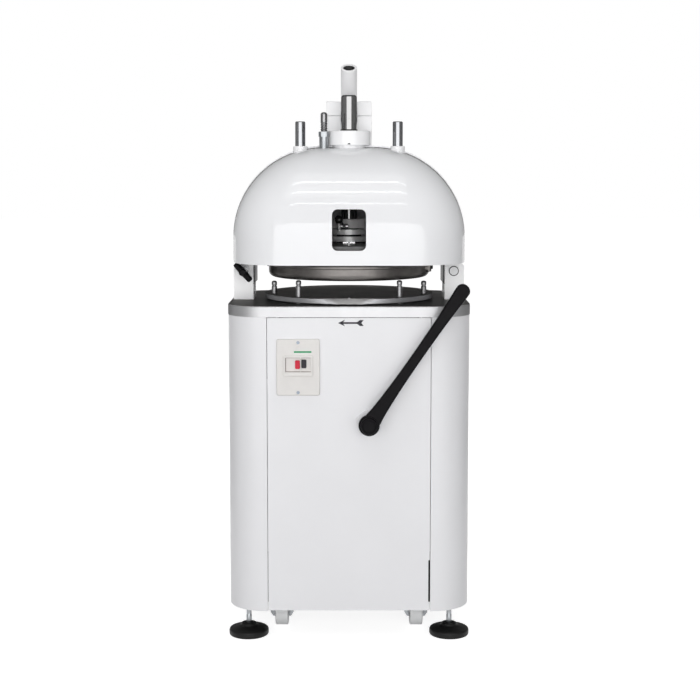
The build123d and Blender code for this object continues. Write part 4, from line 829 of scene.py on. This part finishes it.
@dataclass
class Studio:
    """Plain pale floor, soft studio light and the photograph's camera."""

    distance: float = 3.697
    height: float = 1.177
    tilt: float = 5.5  # degrees down
    focal: float = 1420.4  # this and the next three in pixels
    frame_width: float = 700.0
    axis_row: float = 305.9
    centre: float = 349.0
    floor_reach: float = 30.0
    floor_greys: Flat = (0.50, 0.52)
    floor_glow: float = 0.86
    world_light: float = 0.32
    boxes: tuple[SoftBox, ...] = (
        SoftBox("top_box", (-0.2, -1.2, 3.6), (0.0, 0.0, 0.9), (1.8, 1.8), 9.0),
        SoftBox("back_box", (0.0, 3.6, 1.5), (0.0, 0.0, 0.8), (3.0, 2.4), 50.0, glossy=False),
    )
    side_card: float = 1.5
    side_run: Flat = (-1.5, 1.4)
    side_height: float = 3.0
    side_greys: Flat = (0.72, 0.54)
    bright_grey: float = 0.9
    card_wander: Flat = about(0.05)
    front_light: float = 2.58
    front_depth: float = -4.5
    front_half: float = 3.3
    front_rise: Flat = (0.1, 2.4)
    front_corner: float = 0.8
    strip_light: float = 7.0
    strip_depths: tuple[float, ...] = (-1.0, -1.75, -2.9)
    strip_halves: Flat = (0.7, 0.045)
    ceiling: float = 3.4

    def build(self) -> None:
        """Make the camera, the floor, the world, the lamps and the cards."""
        self.camera()
        self.floor()
        self.world()
        for box in self.boxes:
            box.hang()
        self.cards()
        bpy.context.scene.view_settings.view_transform = "Standard"

    def camera(self) -> None:
        """Stand a camera in front of the machine, looking a little down."""
        data = bpy.data.cameras.new("front_camera")
        data.sensor_width = SENSOR_WIDTH
        data.lens = SENSOR_WIDTH * self.focal / self.frame_width
        data.shift_y = (self.axis_row - self.frame_width / 2) / self.frame_width
        data.shift_x = (self.frame_width / 2 - self.centre) / self.frame_width
        camera = bpy.data.objects.new("front_camera", data)
        camera.location = (0.0, -self.distance, self.height)
        camera.rotation_euler = (math.radians(90.0 - self.tilt), 0.0, 0.0)
        bpy.context.scene.collection.objects.link(camera)
        bpy.context.scene.camera = camera

    def floor(self) -> None:
        """Lay a wide pale floor that shows white and keeps the shadow."""
        board = NodeBoard.fresh("floor_white")
        board.tint(Noise(scale=2.0, detail=3.0), *(grey(tone) for tone in self.floor_greys))
        board.give({"Roughness": 0.9, "Emission Color": rgba(WHITE)})
        seen = board.seen(Ray.CAMERA, Ray.GLOSSY, Ray.TRANSMISSION)
        glow = board.add("ShaderNodeMath", {1: self.floor_glow}, operation="MULTIPLY")
        board.join(seen, "Value", glow, 0)
        board.join(glow, "Value", board.shader, "Emission Strength")
        reach = self.floor_reach
        edge = rectangle(-reach, reach, -reach, reach)
        self.panel("floor", [(x, y, 0.0) for x, y in edge], board.owner)

    def world(self) -> None:
        """Light the scene softly and show white behind it."""
        world = bpy.data.worlds.new("studio_world")
        bpy.context.scene.world = world
        board = NodeBoard(world)
        board.clear()
        output = board.add("ShaderNodeOutputWorld")
        mix = board.add("ShaderNodeMixShader")
        board.join(board.seen(Ray.CAMERA, Ray.TRANSMISSION), "Value", mix, "Fac")
        for place, strength in enumerate((self.world_light, 1.0), start=1):
            light = board.add("ShaderNodeBackground", {"Color": rgba(WHITE), "Strength": strength})
            board.join(light, "Background", mix, place)
        board.join(mix, "Shader", output, "Surface")

    def cards(self) -> None:
        """Stand a grey card on each side, a bright one behind the camera and strips overhead."""
        for hand, tone in zip(Hand, self.side_greys):
            edge = rectangle(*self.side_run, 0.0, self.side_height)
            outline = [(hand.value * self.side_card, y, z) for y, z in edge]
            self.card(f"{hand.word}_card", outline, tone, 0.0)
        low, high = self.front_rise
        half, turn = self.front_half, self.front_corner
        edge = arc((half - turn, high - turn), turn, 0.0, 90.0, steps=8)
        edge += arc((turn - half, high - turn), turn, 90.0, 180.0, steps=8)
        edge += [(-half, low), (half, low)]
        outline = [(x, self.front_depth, z) for x, z in edge]
        self.card("front_card", outline, self.bright_grey, self.front_light)
        length, width = self.strip_halves
        for number, depth in enumerate(self.strip_depths):
            edge = rectangle(-length, length, depth - width, depth + width)
            outline = [(x, y, self.ceiling) for x, y in edge]
            self.card(f"ceiling_strip_{number}", outline, self.bright_grey, self.strip_light)

    def card(self, name: str, outline: Sequence[Point], tone: float, glow: float) -> None:
        """Stand one flat card that the camera doesn't see.

        Args:
            name: Name of the card.
            outline: Its corners.
            tone: Its grey.
            glow: Strength of its own light.
        """
        board = NodeBoard.fresh(name)
        board.tint(Noise(scale=3.0, detail=2.0), *tones(grey(tone), self.card_wander))
        board.give({"Roughness": 1.0, "Emission Color": rgba(WHITE), "Emission Strength": glow})
        self.panel(name, outline, board.owner).visible_camera = False

    def panel(self, name: str, outline: Sequence[Point], material: Material) -> Object:
        """Add one flat piece of the stage.

        Args:
            name: Name of the piece.
            outline: Its corners.
            material: Its material.

        Returns:
            The piece.
        """
        mesh = bpy.data.meshes.new(name)
        mesh.from_pydata(outline, [], [tuple(range(len(outline)))])
        mesh.materials.append(material)
        piece = bpy.data.objects.new(name, mesh)
        bpy.context.scene.collection.objects.link(piece)
        return piece


class Assembly:
    """A group of new pieces."""

    def build(self) -> None:
        """Build the pieces, in the way of the group's own kind."""
        raise NotImplementedError


@dataclass
class FrontMarks(Assembly):
    """A plain arrow near the top of the front panel."""

    face: float = -239.0
    height: float = 800.0
    tip: float = -27.0
    tail: float = 36.0
    shaft_half: float = 2.2
    neck: float = 13.0  # behind the tip
    barb: Flat = (17.0, 8.0)  # behind the tip, half width
    feather_half: float = 7.4
    feather_runs: Point = (16.0, 9.0, 5.5)  # root, full width and notch, before the tail
    thickness: float = 0.35

    def build(self) -> None:
        """Lay the arrow on the panel."""
        run, wing = self.barb
        root, full, notch = self.feather_runs
        lower = [
            (self.tip + run, -wing),
            (self.tip + self.neck, -self.shaft_half),
            (self.tail - root, -self.shaft_half),
            (self.tail - full, -self.feather_half),
            (self.tail, -self.feather_half),
        ]
        outline = [(self.tip, 0.0), *lower, (self.tail - notch, 0.0), *flipped(lower)]
        place = front_frame(0.0, self.face + OFFSET, self.height)
        dress(prism("arrow_mark", outline, self.thickness, place), "start_black", "base")


@dataclass
class LeverArm(Assembly):
    """The black rounding lever with its dished cap."""

    hub: Flat = (49.3, 552.0)  # across, up
    length: float = 400.0
    lean: float = 34.5  # degrees from upright
    back: float = -271.0
    thickness: float = 18.0
    edge_round: float = 5.0
    hub_radius: float = 26.0
    hub_turn: float = 52.0  # degrees from the arm's line to the hub's round
    tip_radius: float = 18.0
    tip_turn: float = 75.0
    edge: Outline = (  # distance from the hub, half width
        (20.0, 20.5), (45.0, 17.4), (90.0, 14.8), (150.0, 12.9), (220.0, 12.4), (300.0, 13.4), (360.0, 15.6),
    )
    shoulder: Flat = (6.0, 17.4)  # before the end's middle, half width
    cap_radius: float = 21.0
    cap_height: float = 8.0
    cap_rim: Outline = (  # inside the radius, below the top
        (0.0, 3.0), (0.8, 1.0), (2.6, 0.0), (4.4, 0.8), (5.4, 2.4), (9.0, 3.0),
    )
    cap_dish: float = 3.3

    def build(self) -> None:
        """Build the arm and the cap over their solids."""
        before, width = self.shoulder
        upper = smooth_line((*self.edge, (self.length - before, width)), steps=5)
        outline = arc((0.0, 0.0), self.hub_radius, self.hub_turn, 360.0 - self.hub_turn, steps=44)
        outline += [(run, -half) for run, half in upper]
        outline += arc((self.length, 0.0), self.tip_radius, -self.tip_turn, self.tip_turn, steps=24)
        outline += upper[::-1]
        lean = math.radians(self.lean)
        along = (math.sin(lean), 0.0, math.cos(lean))
        x, z = self.hub
        place = aim_frame(place_at(x, self.back, z), Direction.FRONT.value, along)
        arm = round_edges(prism("lever_arm", outline, self.thickness, place), self.edge_round, segments=5)
        dress(arm, "lever_black", "rounding_arm", "rounding_lever")
        radius, top = self.cap_radius, self.cap_height
        profile = [(0.0, OFFSET), (radius, OFFSET)]
        profile += [(radius - inside, top - below) for inside, below in self.cap_rim]
        profile.append((0.0, top - self.cap_dish))
        cap = lathe("lever_dished_cap", profile, front_frame(x, self.back - self.thickness, z), steps=96)
        dress(cap, "lever_black", "rounding_arm", "lever_cap")


@dataclass
class SwitchFace(Assembly):
    """Marks on the switch plate: a plain stripe, an embossed ring, a divider and strips of painted shade
    along the window's edges.
    """

    plate: float = -248.0
    floor: float = -245.0
    stripe: Flat = (-135.6, -92.4)
    stripe_height: float = 729.2
    stripe_size: Flat = (1.9, 0.3)  # half width, thickness
    ring: Flat = (-124.9, 739.2)
    ring_section: Outline = ((2.4, 0.0), (2.5, 0.7), (3.4, 0.9), (4.2, 0.7), (4.4, 0.0), (2.4, 0.0))
    divider: float = -119.2
    divider_size: Flat = (0.9, 5.0)  # half width, thickness
    recess: Flat = (679.8, 715.2)
    window: Flat = (-157.0, -92.0)
    # Widths of the painted shade strips, wider on the top and left, where the shadow falls.
    painted_shade: float = 1.6  # top and left
    thin_line: float = 1.12  # bottom and right
    line_thickness: float = 0.5

    def build(self) -> None:
        """Lay the marks on the plate and in its recess."""
        half, rise = self.stripe_size
        place = front_frame(0.0, self.plate + OFFSET, self.stripe_height)
        stripe = prism("switch_stripe", rectangle(*self.stripe, -half, half), rise, place)
        dress(stripe, "switch_grey", "base", own=STRIPE_GREEN)
        x, z = self.ring
        ring = lathe("switch_ring", self.ring_section, front_frame(x, self.plate + OFFSET, z), steps=40)
        dress(ring, "switch_grey", "base")
        low, high = self.recess
        half, rise = self.divider_size
        tall = (high - low) / 2
        place = front_frame(self.divider, self.floor + OFFSET, (low + high) / 2)
        divider = prism("switch_divider", rectangle(-half, half, -tall, tall), rise, place)
        dress(divider, "switch_grey", "base")
        self.window_lines()

    def window_lines(self) -> None:
        """Line the edges of the switch's window with dark strips of painted shade."""
        left, right = self.window
        low, high = self.recess
        strips = {
            "top": (left, right, high - self.painted_shade, high),
            "bottom": (left, right, low, low + self.thin_line),
            "left": (left, left + self.painted_shade, low, high),
            "right": (right - self.thin_line, right, low, high),
        }
        place = front_frame(0.0, self.floor + OFFSET, 0.0)
        for edge, sides in strips.items():
            strip = prism(f"switch_window_{edge}_line", rectangle(*sides), self.line_thickness, place)
            dress(strip, "switch_grey", "base", own=WINDOW_PAINTED_SHADE)


@dataclass
class ThreadedStop(Assembly):
    """The stop screw beside the press rod, with its real thread."""

    place: Flat = (-64.5, -30.0)  # across, depth
    radius: float = 9.0
    pitch: float = 6.0
    groove: float = 1.8
    flank: Flat = (1.25, 0.1)  # steepness, share flat at the crest
    plain: float = 0.3  # place on the flank that the plain end is turned down to
    low: float = 1150.4
    thread_top: float = 1297.0
    high: float = 1323.0
    tip: float = 6.0
    facets: int = 36
    rows_to_a_turn: int = 8

    def build(self) -> None:
        """Wind the thread and round its tip."""
        rows = int((self.high - self.low) / self.pitch * self.rows_to_a_turn)
        centre = Vector(place_at(*self.place, 0.0))
        points: list[Vector] = []
        for row in range(rows + 1):
            height = self.low + (self.high - self.low) * row / rows
            for step in range(self.facets):
                turn = step / self.facets
                points.append(centre + polar(self.reach(height, turn), math.tau * turn, height))
        thread = skin("stop_thread", points, self.facets)
        dress(thread, "zinc", "head", "stop_screw", THREAD_STEEL)

    def reach(self, height: float, turn: float) -> float:
        """Give the screw's radius at one place.

        Args:
            height: Height of the place.
            turn: Its share of a turn round the screw.

        Returns:
            The radius.
        """
        into_tip = max(0.0, 1.0 - (self.high - height) / self.tip)
        taper = math.sqrt(max(0.0, 1.0 - into_tip ** 2))
        phase = (height / self.pitch - turn) % 1.0
        crest = abs(2.0 * phase - 1.0) if height < self.thread_top else self.plain
        slope, flat = self.flank
        return (self.radius - self.groove * min(1.0, max(0.0, slope * crest - flat))) * taper


@dataclass
class ClampGrip(Assembly):
    """The black T-grip of the left clamp, swelling towards its middle, with its boss and washer."""

    place: Point = (-271.0, -95.0, 915.0)
    half: float = 30.0
    lean: float = 48.0  # degrees down to the right
    end: Outline = (  # radius, distance from the end
        (0.0, 0.0), (5.4, 0.5), (7.2, 2.6), (7.8, 6.0), (8.1, 14.0), (8.5, 22.0),
    )
    middle_radius: float = 8.8
    boss: Outline = ((9.4, -12.0), (9.4, 15.0), (9.1, 15.7), (8.2, 16.5), (5.4, 17.1), (0.0, 17.3))
    post_face: float = -50.1
    washer_rise: float = 9.0
    washer_radius: float = 12.5
    washer_size: Flat = (3.0, 0.8)  # thickness, round of the edges

    def build(self) -> None:
        """Turn the grip about its sloping axis, and set the boss and the washer."""
        slope = math.radians(self.lean)
        along = (math.cos(slope), 0.0, -math.sin(slope))
        place = aim_frame(place_at(*self.place), along, Direction.BACK.value)
        lower = [(radius, run - self.half) for radius, run in self.end]
        knots = [*lower, (self.middle_radius, 0.0), *flipped(lower)]
        grip = lathe("clamp_grip", smooth_line(knots, steps=4), place, steps=48)
        dress(grip, "lever_black", "clamp", "clamp_handle")
        boss = lathe("clamp_boss", self.boss, front_frame(*self.place), steps=48)
        dress(boss, "lever_black", "clamp")
        x, _, z = self.place
        outline = arc((0.0, self.washer_rise), self.washer_radius, 0.0, 180.0, steps=20)
        outline += arc((0.0, 0.0), self.washer_radius, 180.0, 360.0, steps=20)
        thickness, edge = self.washer_size
        washer = prism("clamp_oblong_washer", outline, thickness, front_frame(x, self.post_face, z))
        dress(round_edges(washer, edge, segments=2), "steel", "base", own=WASHER_STEEL)


@dataclass
class LevellingFeet(Assembly):
    """Black domed pads on bright stems."""

    across: float = 254.0
    depth: float = -196.0
    crown: Outline = (  # radius, height
        (44.0, 0.0), (48.2, 1.4), (49.8, 4.4), (50.0, 9.0), (49.9, 13.0),
        (48.6, 16.4), (45.0, 18.6), (36.0, 20.6), (27.0, 22.4), (21.6, 24.4),
    )
    collar: Outline = ((19.6, 26.2), (19.2, 29.0), (18.2, 30.6), (16.0, 31.2), (0.0, 31.2))
    stem_radius: float = 6.9
    stem: Flat = (13.2, 129.8)
    neck: Flat = (50.0, 67.0)
    neck_cut: float = 0.5
    bevel: float = 1.0

    def build(self) -> None:
        """Turn both pads and stems over their solids."""
        pad = [(0.0, 0.0), *smooth_line(self.crown, steps=4), *self.collar]
        low, high = self.stem
        foot, head = self.neck
        radius = self.stem_radius
        slim = radius - self.neck_cut
        stem = [(0.0, low), (radius, low), (radius, foot), (slim, foot + self.bevel)]
        stem += [(slim, head - self.bevel), (radius, head), (radius, high - self.bevel)]
        stem += [(radius - self.bevel, high), (0.0, high)]
        for hand in Hand:
            body = f"{hand.word}_foot"
            place = upright_frame(hand.value * self.across, self.depth, 0.0)
            dome = lathe(f"{hand.word}_domed_pad", pad, place, steps=96)
            dress(dome, "foot_rubber", body, f"{body}_pad")
            rod = lathe(f"{hand.word}_bright_stem", stem, place, steps=40)
            dress(rod, "zinc", body, f"{body}_stem")


@dataclass
class CastorCheeks(Assembly):
    """Sloping cheeks of the castor forks under the cabinet."""

    across: float = 173.0
    depths: Flat = (-121.0, 149.0)  # front, rear
    gap: float = 17.4  # from the castor's middle
    reach: float = 12.5
    drop: float = 46.0
    foot_share: float = 0.45
    slope: float = 11.0
    top: float = 71.4
    thickness: float = 20.0
    edge_round: float = 1.0

    def build(self) -> None:
        """Bend the four pairs of cheeks."""
        for row, depth in zip(("front", "rear"), self.depths):
            place = front_frame(0.0, depth + self.thickness / 2, self.top)
            for hand in Hand:
                for edge, lean in (("inner", -1.0), ("outer", 1.0)):
                    start = hand.value * (self.across + lean * self.gap)
                    out = hand.value * lean * self.reach
                    outline = [
                        (start, 0.0),
                        (start + out, 0.0),
                        (start + out, self.slope - self.drop),
                        (start + out * self.foot_share, -self.drop),
                        (start, -self.drop),
                    ]
                    cheek = prism(f"{row}_{hand.word}_{edge}_cheek", outline, self.thickness, place)
                    dress(round_edges(cheek, self.edge_round, segments=2), "zinc", "base")


@dataclass
class RingTrim(Assembly):
    """The press ring's flange and the bright stud under its ear."""

    inner: float = 209.7
    outer: float = 218.3
    flange: Flat = (929.0, 938.2)
    lip: Outline = ((2.2, 0.0), (0.6, 0.8), (0.0, 2.4))  # inside the radius, above the foot
    bevel: float = 0.6
    stud: Flat = (214.0, 17.0)  # radius of its circle, degrees from the right to the front
    stud_rise: Flat = (913.0, 929.2)
    stud_tip: Outline = ((0.0, 0.0), (2.4, 0.4), (3.9, 2.6), (4.1, 5.0))  # radius, above the tip
    stud_root: Outline = ((4.1, 4.0), (6.2, 3.6), (6.2, 0.0), (0.0, 0.0))  # radius, below the root

    def build(self) -> None:
        """Turn the flange and the stud."""
        low, high = self.flange
        profile = [(self.inner, low)]
        profile += [(self.outer - inside, low + above) for inside, above in self.lip]
        profile += [(self.outer, high - self.bevel), (self.outer - self.bevel, high)]
        profile += [(self.inner, high), (self.inner, low)]
        flange = lathe("ring_flange", profile, upright_frame(0.0, 0.0, 0.0), steps=180)
        dress(flange, "ring_cast", "carriage")
        x, forward = around((0.0, 0.0), *self.stud)
        tip, root = self.stud_rise
        profile = [(radius, tip + above) for radius, above in self.stud_tip]
        profile += [(radius, root - below) for radius, below in self.stud_root]
        stud = lathe("ear_stud", profile, upright_frame(x, -forward, 0.0), steps=36)
        dress(stud, "chrome", "carriage")


@dataclass
class ShellSeal(Assembly):
    """A dark strip of painted shadow in the gap between the head's two shells, clear of the columns and the
    collar.
    """

    radius: float = 231.5
    flat: float = 65.0  # from the middle to the centre of the radius
    foot: float = 940.4
    shoulder: float = 1000.0
    wide: float = 6.2  # out of the shell at the foot
    narrow: float = 2.2  # out of the shell at the crown
    taper: float = 75.0  # degrees from wide to narrow
    inside: float = 3.0
    side: Flat = (0.0, 69.0)  # degrees
    crown: Flat = (79.6, 90.0)
    back: float = 0.5
    thickness: float = 1.0
    steps: int = 48

    def build(self) -> None:
        """Cut the painted shadow's side and crown for both hands."""
        centre = (self.flat, self.shoulder)
        inner = self.radius - self.inside
        place = front_frame(0.0, self.back, 0.0)
        for hand in Hand:
            for level, (start, end) in (("side", self.side), ("crown", self.crown)):
                outline: list[Flat] = []
                for step in range(self.steps + 1):
                    turn = start + (end - start) * step / self.steps
                    out = max(self.narrow, self.wide - turn * (self.wide - self.narrow) / self.taper)
                    outline.append(around(centre, self.radius + out, turn))
                outline += arc(centre, inner, end, start, self.steps)
                if level == "side":
                    outline.insert(0, (self.flat + self.radius + self.wide, self.foot))
                    outline.append((self.flat + inner, self.foot))
                outline = [(hand.value * x, z) for x, z in outline]
                seal = prism(f"shell_seal_{level}_{hand.word}", outline, self.thickness, place)
                dress(seal, "seal_rubber", "head", own=GAP_SHADOW_DARK)


@dataclass
class HeadTrim(Assembly):
    """Small pieces of the head: painted shade in the lever socket, block faces, painted shade round the
    hinge pin and collar vent.
    """

    pivot: Flat = (80.0, 1317.0)  # depth, up
    rise: float = 58.0  # degrees from level
    offset: float = 18.0  # from the pivot to the socket's middle line
    bore: Flat = (71.5, 134.0)
    bore_radius: float = 15.0
    lining_wall: float = 0.8
    lining_floor: float = 1.0
    lining_lip: Flat = (2.5, 2.9)  # outer and inner edge, below the bore's end
    block: Flat = (21.5, 59.5)
    block_rise: Point = (1276.0, 1316.5, 1353.5)  # foot, joint, top
    block_front: float = 55.8
    block_size: Flat = (2.6, 1.2)  # thickness, round of the edges
    joint_half: float = 0.6
    hinge: Point = (271.0, -52.6, 915.0)
    hinge_section: Outline = ((10.9, -0.1), (11.0, 0.1), (12.8, 0.1), (12.9, -0.1), (10.9, -0.1))
    vent: Point = (0.0, -54.4, 1241.6)
    vent_outline: Outline = ((-3.6, -1.6), (3.6, -1.6), (2.6, 1.6), (-2.6, 1.6))
    vent_thickness: float = 0.8

    def build(self) -> None:
        """Build each small piece."""
        self.socket_lining()
        self.block_faces()
        # A dark ring round the hinge pin's end: painted shade of its gap and chamfer.
        painted_shade = lathe("hinge_pin_line", self.hinge_section, front_frame(*self.hinge), steps=64)
        dress(painted_shade, "seal_rubber", "base")
        vent = prism("collar_vent", self.vent_outline, self.vent_thickness, front_frame(*self.vent))
        dress(vent, "seal_rubber", "head")

    def socket_lining(self) -> None:
        """Line the lever socket's bore with a dark sleeve: painted shade of the deep hole."""
        turn = math.radians(self.rise)
        along = (0.0, -math.cos(turn), math.sin(turn))
        across = Vector((0.0, math.sin(turn), math.cos(turn)))
        foot = Vector(place_at(0.0, *self.pivot)) + across * self.offset * MM
        low, high = self.bore
        floor = low + self.lining_floor
        outer_lip, inner_lip = self.lining_lip
        outer = self.bore_radius - OFFSET
        inner = outer - self.lining_wall
        profile = [(0.0, low + OFFSET), (outer, low + OFFSET), (outer, high - outer_lip)]
        profile += [(inner, high - inner_lip), (inner, floor), (0.0, floor)]
        lining = lathe("socket_lining", profile, aim_frame(tuple(foot), along), steps=64)
        dress(lining, "seal_rubber", "press_arm")

    def block_faces(self) -> None:
        """Face both sides of the lever bracket with two plates each."""
        foot, joint, top = self.block_rise
        levels = (("lower", foot, joint - self.joint_half), ("upper", joint + self.joint_half, top))
        thickness, edge = self.block_size
        place = front_frame(0.0, self.block_front, 0.0)
        for hand in Hand:
            left, right = sorted(hand.value * reach for reach in self.block)
            for level, low, high in levels:
                name = f"block_{level}_{hand.word}_face"
                face = prism(name, rectangle(left, right, low, high), thickness, place)
                dress(round_edges(face, edge, segments=3), "head_paint", "head")


@dataclass
class HubTrim(Assembly):
    """Wide head, pads and key of the carriage's hub, seen through the hood's window."""

    half: float = 41.0
    rise: Flat = (1024.2, 1047.8)
    bow: float = 65.0  # radius of the front
    front: float = -30.0
    ends: float = -8.0  # depth of the back at both ends
    waist: Flat = (24.0, -21.3)  # half width, depth of the back
    head_round: float = 1.0
    plate: float = 986.1
    pad: Point = (14.5, 7.0, 4.6)  # width, depth, height
    pad_place: Flat = (8.6, -60.0)  # from the middle, depth of the front
    key: Flat = (3.4, 2.4)  # width, height
    key_run: Flat = (-150.0, -66.0)
    slab_round: float = 0.6

    def build(self) -> None:
        """Build the head, the pads and the key on the carriage."""
        spread = math.degrees(math.asin(self.half / self.bow))
        outline = arc((0.0, self.front + self.bow), self.bow, 270.0 - spread, 270.0 + spread, steps=24)
        waist, middle = self.waist
        outline += [(self.half, self.ends), (waist, middle), (-waist, middle), (-self.half, self.ends)]
        foot, top = self.rise
        head = prism("hub_wide_head", outline, top - foot, upright_frame(0.0, 0.0, foot))
        round_edges(head, self.head_round, segments=2)
        dress(head, "steel", "carriage", own=HUB_HEAD_METAL)
        width, run, height = self.pad
        across, near = self.pad_place
        for hand in Hand:
            self.slab(f"hub_{hand.word}_pad", hand.value * across, width, (near, near + run), height)
        width, height = self.key
        self.slab("hub_key", 0.0, width, self.key_run, height)

    def slab(self, name: str, middle: float, width: float, run: Flat, height: float) -> None:
        """Lay one pale slab with rounded edges on the carriage plate.

        Args:
            name: Name of the slab.
            middle: Place of its middle across.
            width: Its width.
            run: Depth of its front and back.
            height: Its height.
        """
        outline = rectangle(middle - width / 2, middle + width / 2, *run)
        slab = prism(name, outline, height, upright_frame(0.0, 0.0, self.plate))
        round_edges(slab, self.slab_round, segments=2)
        dress(slab, "steel", "carriage", own=HUB_PALE_STEEL)


@dataclass
class RearScrews(Assembly):
    """Pan-headed screws that hold the rear panel."""

    across: float = 188.0
    heights: tuple[float, ...] = (98.0, 330.0, 560.0, 790.0)
    radius: float = 6.0
    head: float = 3.0
    dome: Outline = ((0.62, 0.15), (0.88, 0.9), (1.0, 2.0))  # share of the radius, below the top
    socket: Flat = (2.3, 1.8)  # radius, depth

    def build(self) -> None:
        """Set the screws against the panel's face."""
        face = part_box("rear_panel")[1][1]
        width, sunk = self.socket
        floor = self.head - sunk
        profile = [(0.0, floor), (width, floor), (width, self.head)]
        profile += [(self.radius * share, self.head - drop) for share, drop in self.dome]
        profile += [(self.radius, -OFFSET), (0.0, -OFFSET)]
        for hand in Hand:
            for number, height in enumerate(self.heights):
                spot = (hand.value * self.across * MM, face, height * MM)
                place = aim_frame(spot, Direction.BACK.value)
                screw = lathe(f"rear_screw_{hand.word}_{number}", profile, place, steps=36)
                dress(screw, "zinc", "base")


ASSEMBLIES: tuple[type[Assembly], ...] = (
    FrontMarks, LeverArm, SwitchFace, ThreadedStop, ClampGrip, LevellingFeet,
    CastorCheeks, RingTrim, ShellSeal, HeadTrim, HubTrim, RearScrews,
)


def main() -> None:
    """Dress the solids, add the pieces and light the scene."""
    logging.basicConfig(level=logging.INFO)
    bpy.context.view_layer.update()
    dress_solids()
    for assembly in ASSEMBLIES:
        assembly().build()
    Studio().build()


if __name__ == "__main__":
    main()
